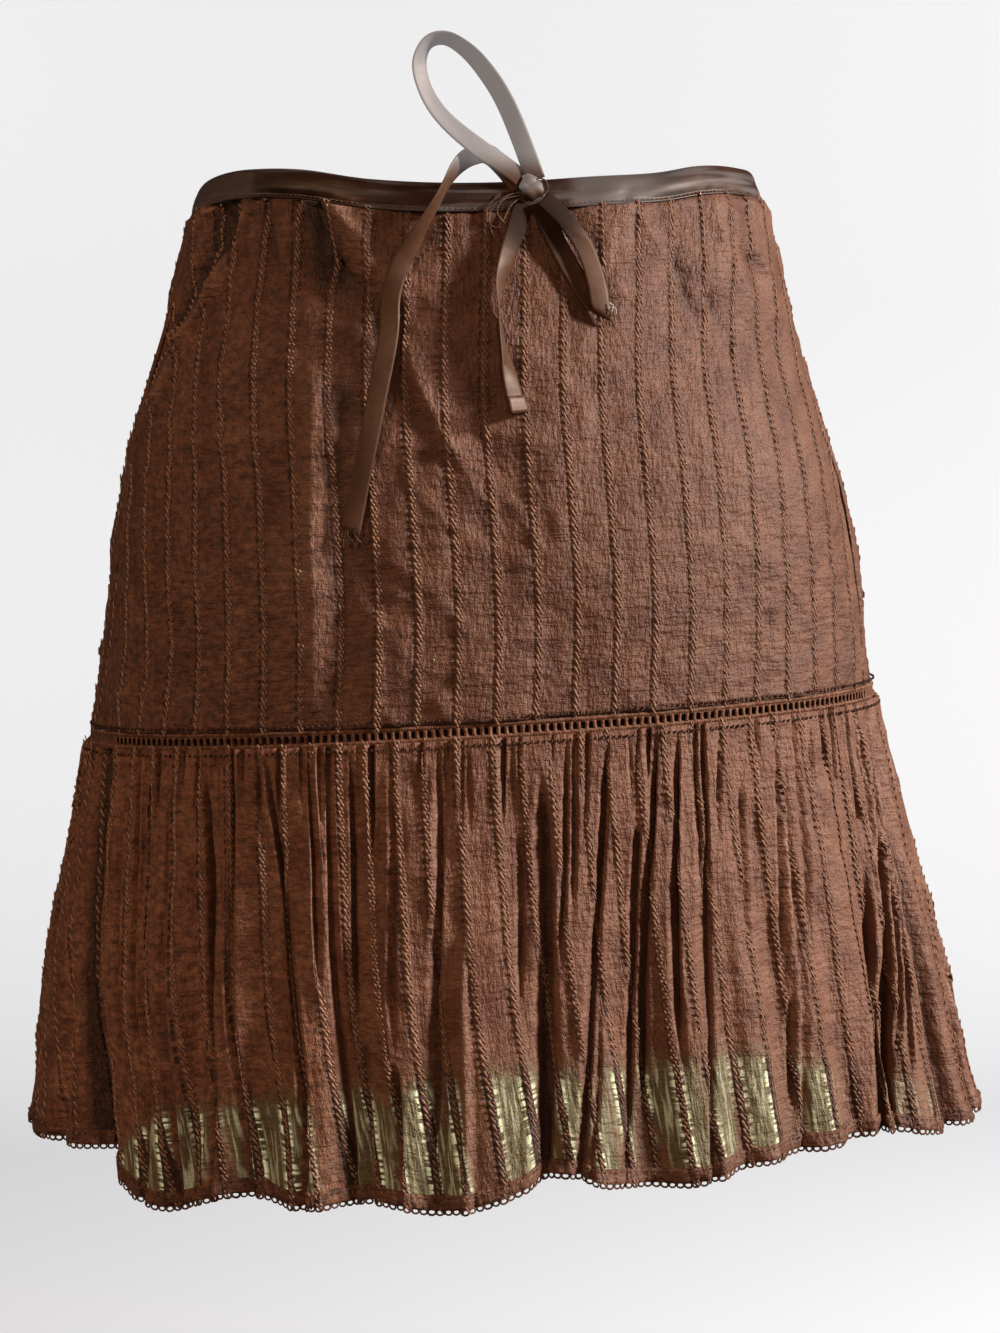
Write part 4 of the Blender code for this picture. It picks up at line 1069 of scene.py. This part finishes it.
# Sharp folds of the front: angle at the insertion and at the hem, how far it
# bows between, half width and depth, and where it starts and ends going down.
Fold = namedtuple("Fold", "top hem bow half_width depth start end")
FOLDS = table(Fold, in_mm="half_width depth", rows=(
    (-61.0, -46.0, 1.0, 2.2, 3.0, 0.0, 0.8), (-52.0, -43.5, 1.5, 2.0, 3.0, 0.0, 1.2),
    (-46.5, -39.0, 1.2, 2.0, 2.4, 0.0, 0.55), (-40.2, -34.0, 1.7, 2.4, 4.6, 0.0, 1.2),
    (-30.0, -22.0, 2.4, 2.2, 4.6, 0.0, 1.2), (-23.0, -17.5, 0.2, 2.2, 4.0, 0.0, 0.55),
    (-17.2, -14.7, 0.2, 2.0, 4.2, 0.0, 0.62), (-12.0, -12.0, 0.5, 2.0, 3.6, 0.0, 0.68),
    (-6.2, -8.2, 0.4, 2.4, 4.0, 0.0, 0.9), (-2.8, -4.6, 0.0, 2.2, -2.6, 0.35, 1.2),
    (-2.8, -2.8, 0.0, 1.6, 3.0, 0.0, 0.2), (1.5, 1.5, 0.0, 1.6, 3.2, 0.0, 0.2),
    (4.5, 1.8, 0.6, 4.5, 5.0, 0.08, 1.2), (8.0, 3.2, -0.3, 2.0, 3.6, 0.0, 0.55),
    (13.2, 5.0, -0.2, 2.4, 5.0, 0.0, 1.2), (16.2, 10.0, 0.0, 1.8, 3.4, 0.0, 0.18),
    (20.0, 12.5, -1.5, 2.4, 4.8, 0.0, 0.85), (23.2, 18.0, -2.2, 2.4, 4.6, 0.0, 0.75),
    (30.0, 17.0, 0.0, 1.8, 3.6, 0.0, 0.28), (33.5, 20.0, 0.0, 1.6, 2.8, 0.0, 0.14),
    (40.5, 31.0, -1.4, 2.2, 4.6, 0.0, 0.62), (47.5, 35.0, 0.0, 2.0, 3.4, 0.0, 0.24),
    (54.8, 42.0, 0.0, 1.6, 2.6, 0.0, 0.12), (58.6, 44.0, 0.0, 3.0, 7.0, 0.33, 1.2),
    (69.2, 48.0, -3.6, 3.0, 7.0, 0.0, 1.2),
))
Flow = namedtuple("Flow", "top hem")
# Angles of the cloth's grain at the insertion and the hem.
GATHER_FLOW = table(Flow, rows=(
    (-70.0, -56.0), (-61.0, -46.0), (-40.2, -34.0), (-30.0, -22.5), (-17.2, -14.7), (-6.2, -8.0),
    (4.5, 1.8), (13.2, 6.0), (20.0, 12.5), (30.0, 22.0), (40.5, 31.5), (54.8, 42.0), (69.2, 50.0),
    (78.0, 62.0),
))
# Height at which the lining's edge shows through the ruffle.
LINING_SHOWS = table(Lift, rows=(
    (-70.0, -0.462), (-52.0, -0.460), (-46.5, -0.440), (-43.0, -0.431), (-35.8, -0.426),
    (-23.5, -0.421), (-13.2, -0.415), (-1.0, -0.411), (10.2, -0.412), (27.2, -0.411), (40.5, -0.423),
    (56.5, -0.438), (64.0, -0.452), (80.0, -0.470), (110.0, -0.420), (180.0, -0.415), (250.0, -0.420),
    (280.0, -0.455),
))


def hem_line(angle):
    """Height of the ruffle's lower edge."""
    return HEM + smooth(HEM_LIFT, "angle", "lift", round_difference(angle, 0.0))


def troughs(angle, points, share):
    """How far the ruffle is folded in by its broad waves, and the part that counts as relief, which the
    material paints as shade.
    """
    total, seen = np.zeros_like(angle), np.zeros_like(angle)
    lines = [(fold, smooth(SEAMS, "z", fold.seam, points[2]), fold.strength, fold.wide)
             for fold in SIDE_FOLDS]
    lines += [(trough, trough.angle + trough.lean * (1 - share), 0.2, 0.8) for trough in TROUGHS]
    for trough, middle, strength, wide in lines:
        grown = np.clip((share - trough.start) / (1 - trough.start), 0.0, 1.0)
        across = along_body(angle, middle, points)
        opened = ease(share - trough.start, 0.0, 0.16)
        half_width = trough.half_width * (0.6 + 0.4 * opened)
        sunk = trough.depth * grown ** 0.8 * opened * bump(across, half_width)
        total -= sunk
        # Painted shade along each wave, by its strength and width.
        seen -= strength * sunk * bump(across, wide * half_width)
    return total, seen


def pinch(distance, half_width):
    """A narrow steep-sided fold, 1 on its line, between two rounded lips."""
    away = np.abs(distance / half_width)
    return np.exp(-away ** 2.6) - 0.13 * np.exp(-((away - 1.9) / 0.7) ** 2)


def fold_angle(fold, share):
    """Where a fold lies at a share of the way down."""
    return fold.top + (fold.hem - fold.top) * share + fold.bow * 4 * share * (1 - share)


def gathers(panel, outline, arcs, start, end, share, steady):
    """Fine gathers: every one starts at the insertion, and they end one by one.

    They run down beside the folds, and fade where they meet one.  A steady gather has
    the same mean depth all the way down, which is what sets the cloth aside for it."""
    rng = np.random.default_rng(41 if panel == "front" else 43)
    count = GATHERS[panel]
    at = (np.arange(count) + 0.5 + rng.uniform(-0.32, 0.32, count)) / count
    drift = rng.uniform(-0.010, 0.010, count)
    short_lived = rng.random(count) < 0.45
    life = np.where(short_lived, rng.uniform(0.06, 0.24, count), rng.uniform(0.3, 1.5, count))
    depth = rng.uniform(2.6, 5.4, count) * MM
    sway = rng.uniform(0, 2 * math.pi, count)
    total = np.zeros_like(arcs)
    near = np.zeros(0)
    if panel == "front":
        shown = [fold for fold in FOLDS if fold.start - 0.06 < share < fold.end + 0.04]
        near = np.interp([fold_angle(fold, share) for fold in shown], outline.angle, outline.arc)
    for k in range(count):
        middle = start + (at[k] + drift[k] * share) * (end - start)
        if panel == "front":
            top = -68.0 + 144.0 * at[k]
            flow = smooth(GATHER_FLOW, "top", "hem", top)
            middle = np.interp(top + (flow - top) * share, outline.angle, outline.arc)
        middle += 1.2 * MM * share * math.sin(sway[k] + 5.0 * share)
        left = ease(life[k] - share, -0.06, 0.12) * (1 - 0.35 * share)
        if len(near):
            left *= ease(np.abs(near - middle).min(), 1.5 * MM, 5.0 * MM)
        left = 0.5 * min(life[k], 1.0) if steady else left
        if left > 0:
            width = (1.1 + 1.1 * share) * (0.6 + 0.4 * left) * MM
            total -= depth[k] * left * pinch(arcs - middle, width)
    return total


def sharp_folds(panel, outline, arcs, share, steady):
    """The named folds of the front, or random deep folds of the back."""
    total = np.zeros_like(arcs)
    folds = FOLDS
    if panel == "back":
        rng = np.random.default_rng(47)
        tops = np.arange(76.0, 290.0, 6.5) + rng.uniform(-2.0, 2.0, BACK_FOLDS)
        ranges = (-3, 3), (-1, 1), (1.8, 2.8), (5.0, 9.0), (0.2, 1.5)
        values = [rng.uniform(low, high, BACK_FOLDS) for low, high in ranges]
        folds = [Fold(top, top + lean, bow, wide * MM, deep * MM, 0.0, last)
                 for top, lean, bow, wide, deep, last in zip(tops, *values)]
    for fold in folds:
        middle = np.interp(fold_angle(fold, share), outline.angle, outline.arc)
        shown = ease(share - fold.start, -0.02, 0.1 + 0.5 * fold.start)
        shown *= ease(fold.end - share, -0.04, 0.16)
        shown *= min(0.5 + 3.5 * share, 1.0)
        shown = 0.7 * (min(fold.end, 1.0) - fold.start) if steady else shown
        if shown > 0:
            width = fold.half_width * (0.52 + 0.38 * share) * (0.5 + 0.5 * min(shown, 1.0))
            total -= fold.depth * shown * pinch(arcs - middle, width)
    return total


def ruffle_row(panel, share, spacing=None):
    """One level row of the ruffle: points, ways out, how far under the lining, fold depth
    (raised on the right to dim the painted backlight there) and relief.

    `spacing` gives where its columns lie; without it, that is found from the cloth's length."""
    top = below(insertion_line, INSERTION_HEIGHT + SEAM_GAP - 1.2 * MM)
    outline = ring(between(top, hem_line, share), PANEL_CENTRES[panel])
    z = outline.points[2].mean()
    start, end = seam_arcs(outline, z, panel)
    seed = RUFFLE_SEED[panel]

    def folded(arcs, steady):
        angle = np.interp(arcs, outline.arc, outline.angle)
        base = at_arcs(outline, arcs, outline.points)
        free = ease(np.minimum(arcs - start, end - arcs), 0.0, 4 * MM)
        crinkle = soft_noise(arcs / (4.5 * MM), z / (26 * MM), seed) * 0.6 * MM
        crush = soft_noise(arcs / (9 * MM), z / (7 * MM), seed + 1) * 0.7 * MM
        fine = free * (gathers(panel, outline, arcs, start, end, share, steady)
                       + sharp_folds(panel, outline, arcs, share, steady))
        broad, seen = troughs(angle, base, share)
        out = broad + fine + free * (crinkle + crush + 2.2 * MM * (1 - share))
        lean = 0.85 * soft_noise(arcs / (40 * MM), z / (160 * MM), seed + 2)
        outward = at_arcs(outline, arcs, outline.outward)
        sideways = np.stack((-outward[1], outward[0], outward[2]))
        return moved(outline, arcs, out) + sideways * lean * fine, angle, fine, fine + seen

    if spacing is None:
        arcs = np.arange(start, end, CLOTH_STEP)
        steady = folded(arcs, True)[0]
        length = np.concatenate(([0.0], np.cumsum(np.hypot(*np.diff(steady[:2], axis=1)))))
        ribs = round(length[-1] / RIB_PITCH)
        columns = np.linspace(0.0, length[-1], ribs * COLUMNS_PER_RIB[panel] + 1)
        return (np.interp(columns, length, arcs) - start) / (end - start)
    along = start + (end - start) * spacing
    points, angle, fine, relief = folded(along, False)
    tangent = np.gradient(points[:2], axis=1)
    tangent /= np.hypot(*tangent)
    outward = np.stack((tangent[1], -tangent[0], np.zeros_like(along)))
    shows = smooth(LINING_SHOWS, "angle", "lift", np.where(angle < -70, angle + 360, angle))
    # Dims the painted backlight from 36 degrees round past the right side seam, through the fold mark.
    glow_dimmed = 1.75 * MM * ease(angle, 34.0, 38.0) * ease(180.0 - angle, 60.0, 90.0)
    return points, outward, shows - points[2], glow_dimmed - fine, relief


ruffle_crepe = crepe("sheer_crepe", RIB_PITCH, sheer=True)
hem_edges = {}
for panel in ("front", "back"):
    per_rib = COLUMNS_PER_RIB[panel]
    spacing = ruffle_row(panel, 0.8)
    columns = np.arange(len(spacing))
    from_rib = np.abs((columns / per_rib) % 1.0 - 0.5) * RIB_PITCH
    on_rib = RIB_SWELL * bump(from_rib, RIB_WIDTH / 2)
    cut_across = (columns / per_rib + 0.5) * RIB_PITCH
    grid, flat, ways = [], [], []
    marks = {"under_lining": [], "in_fold": [], "relief": []}
    for share in np.linspace(0.0, 1.0, RUFFLE_ROWS):
        points, outward, *values = ruffle_row(panel, share, spacing)
        grid.append(points + outward * on_rib)
        ways.append(outward)
        flat.append(cut_row(cut_across, RUFFLE_DROP * share))
        for row, value in zip(marks.values(), values):
            row.append(value)
    piece = cloth(f"ruffle_{panel}_crepe", grid, flat, ruffle_crepe, marks=marks)
    dress(piece, "ribbed_cotton", f"ruffle_{panel}")
    points, outward = np.stack(grid, axis=1), np.stack(ways, axis=1)
    lines = [(points[:, :, column], outward[:, :, column])
             for column in range(per_rib // 2, len(spacing), per_rib)]
    cords(f"ruffle_{panel}_ribs", panel, lines, seed=3)
    hem_edges[panel] = spacing, columns, cut_across, grid[-1], ways[-1]

# ================================================================ hem
# The ruffle's edge is turned up in a narrow shirred band, and a crocheted picot
# edge of tiny loops is sewn below it.
HEM_BAND = 6.5 * MM
HEM_ROWS = 6
SHIRR_PAINTED_SHADING = 7              # how strongly the shirring is painted as light and shade, through the relief mark
PICOT_SIDES = 10
PICOT_SIZE = np.array((1.65, 1.25)) * MM
PICOT_THICK = 0.5 * MM
PICOT_DROP = np.array(((0.0,), (0.0,), (0.7 * MM,)))

band_crepe = crepe("hem_crepe", RIB_PITCH)
picot_thread = thread("picot_thread", (0.070, 0.026, 0.014, 1.0), (0.170, 0.084, 0.055, 1.0))
for panel, (spacing, columns, cut_across, edge, outward) in hem_edges.items():
    grid, flat, shirring = [], [], []
    for k, share in enumerate(np.linspace(1 - HEM_BAND / RUFFLE_DROP, 1.0, HEM_ROWS)):
        points, outside = ruffle_row(panel, share, spacing)[:2]
        shirr = soft_noise(columns * 9 / COLUMNS_PER_RIB[panel], k / 4.0, 61) * 0.55 * MM
        rounded = 0.75 * MM * math.sin(math.pi * (0.12 + 0.76 * k / (HEM_ROWS - 1)))
        shirring.append(SHIRR_PAINTED_SHADING * shirr)
        grid.append(points + outside * (shirr + rounded + 0.25 * MM))
        flat.append(cut_row(cut_across, RUFFLE_DROP * share))
        if k == 1:
            seam_line = points + outside * 1.1 * MM, outside
    piece = cloth(f"hem_band_{panel}", grid, flat, band_crepe, thick=0.9 * MM,
                  marks={"relief": shirring})
    dress(piece, "ribbed_cotton", f"hem_edging_{panel}")
    set_along(f"hem_stitches_{panel}", "ribbed_cotton", stitch_shape("hem_stitch", 2.2, 0.6, 0.7),
              [seam_line], picot_thread, pitch=3.2 * MM, slant=0.25, seed=16)
    picot, loops = bmesh.new(), []
    for turn in np.arange(PICOT_SIDES) * 2 * math.pi / PICOT_SIDES:
        middle = np.array((math.cos(turn), math.sin(turn))) * PICOT_SIZE
        way = middle / np.hypot(*middle)
        corners = ((way[0], way[1], 0.0), (0.0, 0.0, 1.0), (-way[0], -way[1], 0.0), (0.0, 0.0, -1.0))
        loops.append([picot.verts.new(np.array((*middle, 0.0)) + np.array(corner) * PICOT_THICK)
                      for corner in corners])
    skin(picot, loops + loops[:1])
    line = edge - PICOT_DROP + outward * 0.1 * MM, outward
    set_along(f"picot_edge_{panel}", "ribbed_cotton", finished("picot", picot), [line], picot_thread,
              pitch=3.7 * MM, uneven=0.12, seed=14)

# ================================================================ ribbon
# Satin ribbon that comes out of the binding and is tied in a bow: a loop that
# stands up, a loop that hangs down, and two tails with raw ends.
RIBBON_WIDTH = 9 * MM
RIBBON_STEPS = 10            # rows of the mesh from stop to stop
RIBBON_ACROSS = np.linspace(-1.0, 1.0, 9)
Stop = namedtuple("Stop", "across height clear slant turn")     # mm, mm, mm, degrees, degrees
RIBBONS = {
    "ribbon_loop_up": table(Stop, rows=(
        (23.4, -12.6, 4.4, 20, 5), (17.4, 7.3, 5.4, 22, 15), (10.8, 24.2, 6.0, 24, 25),
        (3.6, 36.9, 6.5, 30, 32), (-5.1, 47.5, 7.0, 42, 42), (-14.6, 53.6, 8.0, 64, 55),
        (-22.7, 51.6, 9.0, 110, 60), (-26.5, 41.9, 9.5, 165, 52), (-23.5, 28.7, 9.5, 198, 42),
        (-15.6, 16.4, 8.8, 220, 30), (-1.2, 3.4, 7.0, 230, 12), (8.0, -4.2, 4.9, 232, 4),
        (16.8, -11.1, 3.3, 232, 0),
    )),
    "ribbon_tail_long": table(Stop, rows=(
        (15.9, -14.6, 1.4, 40, 0), (9.0, -5.0, 1.5, 44, 0), (2.0, 1.7, 1.6, 66, 4),
        (-5.9, 0.3, 2.8, 120, 26), (-12.0, -5.7, 4.8, 138, 58), (-17.3, -14.0, 5.8, 150, 78),
        (-21.6, -21.6, 5.6, 152, 76), (-26.5, -29.2, 5.2, 152, 68), (-31.4, -36.8, 4.4, 152, 52),
        (-39.1, -48.4, 2.9, 156, 22), (-44.2, -62.4, 2.2, 166, 0), (-46.2, -81.4, 2.2, 171, 0),
        (-52.4, -108.6, 2.2, 166, 0), (-58.6, -134.8, 2.2, 166, 0), (-66.9, -170.2, 2.2, 164, 0),
    )),
    "ribbon_tail_short": table(Stop, rows=(
        (18.2, -22.3, 1.9, 150, 0), (15.7, -27.7, 2.1, 156, 5), (12.4, -37.4, 3.2, 161, 18),
        (8.2, -48.9, 4.6, 163, 38), (4.8, -60.9, 5.8, 170, 64), (4.1, -71.9, 6.1, 180, 84),
        (4.7, -82.4, 5.9, 185, 75), (6.1, -92.9, 5.5, 188, 60), (7.9, -103.9, 4.6, 190, 38),
        (10.8, -118.9, 4.1, 191, 30),
    )),
    "ribbon_loop_down": table(Stop, rows=(
        (26.4, -21.2, 5.0, 224, 0), (32.4, -27.5, 5.4, 221, 4), (38.7, -36.0, 5.8, 212, 6),
        (43.6, -44.9, 6.0, 203, 6), (46.7, -54.7, 6.1, 195, 4), (48.5, -63.9, 6.1, 186, 0),
        (49.2, -70.8, 5.9, 172, 0), (50.1, -74.4, 5.4, 158, 0), (50.5, -76.1, 4.1, 152, 0),
        (49.7, -74.6, 2.9, 158, 0), (47.0, -70.2, 2.5, 184, 0), (40.6, -58.4, 2.5, 206, 0),
        (35.1, -47.7, 2.6, 207, 0), (29.7, -36.5, 2.9, 205, 0), (24.4, -22.6, 3.5, 195, 0),
    )),
}
KNOT = Stop(21.5, -16.3, 3.4, 0, 0)
RIBBON_DEEP = (0.050, 0.018, 0.007, 1.0)
RIBBON_FADED = (0.095, 0.042, 0.021, 1.0)


def front_surface(across, height):
    """Point on the outside of the skirt's front; above the waist it goes straight up."""
    z = min(height, 0.0)
    half_width, front, middle = (smooth(BODY, "z", column, z)
                                 for column in ("half_width", "front", "middle"))
    share = abs(across - middle) / half_width
    return np.array((across, -front * (1 - share ** RING_POWER) ** (1 / RING_POWER), height))


def unit(directions):
    """Directions at length one."""
    return directions / np.linalg.norm(directions, axis=-1, keepdims=True)


def front_frame(stop):
    """Point in front of the cloth at a stop, with the directions out, sideways and up."""
    across, height = stop.across * MM, stop.height * MM
    sideways = unit(front_surface(across + MM, height) - front_surface(across - MM, height))
    upright = unit(front_surface(across, height + MM) - front_surface(across, height - MM))
    outward = unit(np.cross(sideways, upright))
    return front_surface(across, height) + outward * stop.clear * MM, outward, sideways, upright


def through_stops(values, at):
    """Values at every stop, read on a smooth curve at fractional stop numbers."""
    stops = np.arange(len(values))
    slope = np.gradient(values, axis=0)
    i = np.clip(np.searchsorted(stops, at) - 1, 0, len(values) - 2)
    t = (at - i)[:, None]
    return ((1 + 2 * t) * (1 - t) ** 2 * values[i] + t * (1 - t) ** 2 * slope[i]
            + t * t * (3 - 2 * t) * values[i + 1] + t * t * (t - 1) * slope[i + 1])


def ribbon_run(stops):
    """Middles, width directions and face directions down a ribbon."""
    middles, widths = [], []
    for stop in stops:
        point, outward, sideways, upright = front_frame(stop)
        slant, turn = math.radians(stop.slant), math.radians(stop.turn)
        level = sideways * math.cos(slant) + upright * math.sin(slant)
        middles.append(point)
        widths.append(level * math.cos(turn) + outward * math.sin(turn))
    at = np.arange((len(stops) - 1) * RIBBON_STEPS + 1) / RIBBON_STEPS
    middles, widths = through_stops(np.array(middles), at), unit(through_stops(np.array(widths), at))
    return middles, widths, unit(np.cross(unit(np.gradient(middles, axis=0)), widths))


ribbon_satin = satin("ribbon_satin", RIBBON_DEEP, RIBBON_FADED, 0.50, 30.0, 0.10, backlit=1.2)
for name, stops in RIBBONS.items():
    middles, widths, faces = ribbon_run(stops)
    along = np.concatenate(([0.0], np.cumsum(np.linalg.norm(np.diff(middles, axis=0), axis=1))))
    ripple = soft_noise(along / (14 * MM), 0.0, 71) * 0.25 * MM
    grid = []
    for across in RIBBON_ACROSS:
        cup = 0.35 * MM * (across ** 2 - 0.4) + ripple * across
        grid.append(middles + widths * across * RIBBON_WIDTH / 2 + faces * cup[:, None])
    grid = np.stack(grid, axis=2)
    shape = len(along), len(RIBBON_ACROSS)
    flat = np.stack((np.broadcast_to((RIBBON_ACROSS + 1) * RIBBON_WIDTH / 2, shape),
                     np.broadcast_to(along[:, None], shape)), axis=-1)
    # Painted light: above the waist the ribbon is painted grey and glows, as if lit through from
    # behind.
    lit = ease(grid[:, 2], -11 * MM, 3 * MM) * (0.84 if name == "ribbon_loop_up" else 0.75)
    near_knot = np.hypot(grid[:, 0] - 25 * MM, grid[:, 2] + 28 * MM)
    # Painted shade of the knot on the pieces that hang below the waist.
    tucked = 0.9 * ease(-near_knot, -28 * MM, -12 * MM) * (lit.max() < 0.1)
    piece = cloth(name + "_satin", grid, flat, ribbon_satin, thick=0.45 * MM,
                  marks={"turned": lit, "tucked": tucked})
    piece.modifiers["wall"].offset = 0.0
    dress(piece, "satin", name)
    if name == "ribbon_tail_short":
        last = np.flatnonzero(along > along[-1] - 9.5 * MM)
        faces = faces * -np.sign(faces[last[-1]][1])
        lifted = middles[last] + faces[last] * 0.75 * MM
        patch = [lifted + widths[last] * across * 0.56 * RIBBON_WIDTH for across in RIBBON_ACROSS]
        patch = cloth("folded_end", np.stack(patch, axis=2), flat[last], ribbon_satin, thick=0.5 * MM)
        dress(patch, "satin")
        middle, face, width = middles[last[2]], faces[last[2]], widths[last[2]]
        row = middle + face * 1.1 * MM + width * np.linspace(-4, 4, 9)[:, None] * MM
        line = row.T, np.tile(face[:, None], 9)
        set_along("folded_end_holes", "satin", stitch_shape("end_hole", 1.1, 1.1, 0.4), [line],
                  needle_hole, pitch=2.2 * MM)

# Raw ends and loose threads: the long tail is frayed, the short one folded over and
# stitched, and a loop of sewing thread has come loose beside the knot.
def loose_threads(name, runs, thick, material):
    """Thin threads through rows of points, as one mesh."""
    curve = bpy.data.curves.new(name + "_path", "CURVE")
    curve.dimensions = "3D"
    curve.bevel_depth = thick / 2
    curve.bevel_resolution = 0
    curve.use_fill_caps = True
    for run in runs:
        run = through_stops(np.array(run), np.linspace(0, len(run) - 1, 6 * len(run)))
        spline = curve.splines.new("POLY")
        spline.points.add(len(run) - 1)
        for point, place in zip(spline.points, run):
            point.co = (*place, 1.0)
    holder = in_scene(name + "_path", curve)
    mesh = plain_mesh(name, holder)
    bpy.data.objects.remove(holder)
    mesh.materials.clear()
    mesh.materials.append(material)
    dress(in_scene(name, mesh), "satin")


def on_front(*places):
    """Points in front of the cloth: across, height and clearance in mm."""
    return [front_frame(Stop(*place, 0, 0))[0] for place in places]


ribbon_thread = thread("ribbon_thread", (0.060, 0.024, 0.012, 1.0), (0.180, 0.110, 0.075, 1.0))
pale_thread = thread("pale_thread", (0.45, 0.40, 0.36, 1.0), (0.80, 0.76, 0.72, 1.0))
loops = [
    on_front((18, -17, 2.4), (9, -19.5, 2.8), (2, -26, 2.0), (3, -37, 2.2), (8, -42, 2.6),
             (10.5, -35, 3.4), (5.5, -27, 2.4), (8, -21, 3.2), (17, -19, 3.4)),
    on_front((19, -19, 2.6), (12, -23, 3.0), (6, -33, 2.4), (1.5, -31, 2.0), (1, -24, 1.8),
             (7, -17.5, 2.2)),
    on_front((24, -12, 5.6), (27.5, -13, 5.2), (28.5, -17, 4.6), (26, -20.5, 5.4)),
]
loose_threads("loose_loops", loops, 0.7 * MM, ribbon_thread)
frays = []
rng = np.random.default_rng(77)
for k in range(12):
    at, lean, drop = -71.0 + 8.0 * k / 11, rng.uniform(-3.5, 4.5), rng.uniform(2.0, 6.5)
    frays.append(on_front((at, -168.5, 2.4),
                          (at + 0.3 * lean, -170.5 - 0.4 * drop, rng.uniform(1.6, 3.2)),
                          (at + lean, -170.5 - drop, rng.uniform(1.4, 2.6))))
loose_threads("frayed_tail", frays, 0.4 * MM, ribbon_thread)
specks = [
    on_front((53.0, -70.5, 7.0), (54.5, -72.0, 7.6), (54.0, -74.5, 7.0)),
    on_front((52.5, -72.5, 7.0), (55.5, -73.0, 7.4), (56.0, -75.5, 6.8)),
    on_front((-46.5, -53.0, 1.6), (-45.5, -53.6, 2.0), (-45.2, -54.6, 1.6)),
    on_front((-32.5, -227.0, 1.6), (-31.5, -227.8, 2.0), (-32.0, -228.6, 1.6)),
]
loose_threads("lint", specks, 0.5 * MM, pale_thread)

# The knot: the ribbon wound once round itself, with the folds pulled tight.
KNOT_SIZE = np.array((11.4, 5.6, 13.4)) * MM
point, outward, sideways, upright = front_frame(KNOT)
knot = bmesh.new()
bmesh.ops.create_uvsphere(knot, u_segments=48, v_segments=32, radius=0.5)
for vertex in knot.verts:
    x, y, z = vertex.co * 2
    wrap = 0.5 + 0.5 * math.sin(5.2 * (x * 0.8 + z * 0.55) + 1.4 * z)
    tuck = math.exp(-((x * 0.45 - z * 0.9 + 0.1) / 0.16) ** 2)
    swell = 0.90 + 0.15 * wrap - 0.24 * tuck
    x, y, z = np.array((x, y, z)) * swell * KNOT_SIZE / 2
    vertex.co = point + sideways * x + outward * -y + upright * (z + 1.3 * MM)
knot_mesh = finished("ribbon_knot_satin", knot)
knot_mesh.uv_layers.new(name="cut")
# Painted highlight on the knot's top, and painted shade under it.
heights = np.array([vertex.co.z - point[2] for vertex in knot_mesh.vertices])
mark(knot_mesh, "turned", 0.5 * ease(heights, -3 * MM, 2 * MM))
mark(knot_mesh, "tucked", 0.8 * ease(-heights, 1 * MM, 4 * MM))
knot_mesh.shade_smooth()
knot_mesh.materials.append(ribbon_satin)
dress(in_scene("ribbon_knot_satin", knot_mesh), "satin", "ribbon_knot")

# ================================================================ stage and light
# A plain pale sweep, one large soft key from the right, and weak fills from
# the left and from in front.
FLOOR = -0.80
sweep = [(-3.0, FLOOR), (1.4, FLOOR)]
sweep += [(1.4 + 0.9 * math.sin(t), FLOOR + 0.9 - 0.9 * math.cos(t))
          for t in np.linspace(0.1, math.pi / 2, 16)]
sweep += [(2.3, 3.4)]
mesh = bpy.data.meshes.new("sweep")
mesh.from_pydata([(x, y, z) for y, z in sweep for x in (-5.0, 5.0)], [],
                 [(2 * k, 2 * k + 1, 2 * k + 3, 2 * k + 2) for k in range(len(sweep) - 1)])
mesh.shade_smooth()
paper = bpy.data.materials.new("paper")
paper.use_nodes = True
fill(paper.node_tree.nodes["Principled BSDF"], {
    "Base Color": (0.77, 0.81, 0.86, 1.0), "Roughness": 0.9,
    "Emission Color": (0.90, 0.96, 1.0, 1.0), "Emission Strength": 0.187})
mesh.materials.append(paper)
backdrop = in_scene("sweep", mesh)
backdrop.visible_diffuse = False         # the paper throws no light back on the cloth
backdrop.visible_glossy = False

Lamp = namedtuple("Lamp", "name place aim size watts spread colour")
LAMPS = (
    Lamp("key", (2.50, -0.80, 0.85), (0.0, 0.0, -0.22), 0.5, 157.0, 180, (1.0, 0.955, 0.92)),
    Lamp("side", (-2.5, -0.35, 0.75), (0.0, 0.0, -0.25), 0.3, 4.0, 180, (1.0, 0.66, 0.40)),
    Lamp("fill", (-2.0, -1.6, 1.5), (0.0, 0.0, -0.25), 0.25, 22.0, 180, (1.0, 0.63, 0.39)),
    Lamp("front", (0.15, -2.6, 0.1), (0.0, 0.0, -0.30), 0.4, 9.5, 180, (1.0, 0.66, 0.43)),
    Lamp("paper_left", (-1.5, 1.4, 0.9), (0.0, 2.4, -0.4), 1.0, 4.2, 120, (0.90, 0.97, 1.0)),
)
for lamp in LAMPS:
    light = bpy.data.lights.new(lamp.name, "AREA")
    light.shape = "DISK"
    light.size = lamp.size
    light.energy = lamp.watts
    light.spread = math.radians(lamp.spread)
    light.color = lamp.colour
    way = np.array(lamp.aim) - np.array(lamp.place)
    yaw = math.atan2(way[0], way[1])
    pitch = math.atan2(way[2], math.hypot(way[0], way[1]))
    in_scene(lamp.name, light).matrix_world = (
        Matrix.Translation(lamp.place) @ Matrix.Rotation(-yaw, 4, "Z")
        @ Matrix.Rotation(math.pi / 2 + pitch, 4, "X"))

# The room is pale to look at and gives only a little light of its own.
world = bpy.data.worlds.new("studio")
world.use_nodes = True
room = world.node_tree
seen = put(room, "ShaderNodeLightPath", take="Is Camera Ray")
fill(room.nodes["Background"], {"Color": (0.985, 0.99, 1.0, 1.0), "Strength": seen * 0.80 + 0.04})
bpy.context.scene.world = world
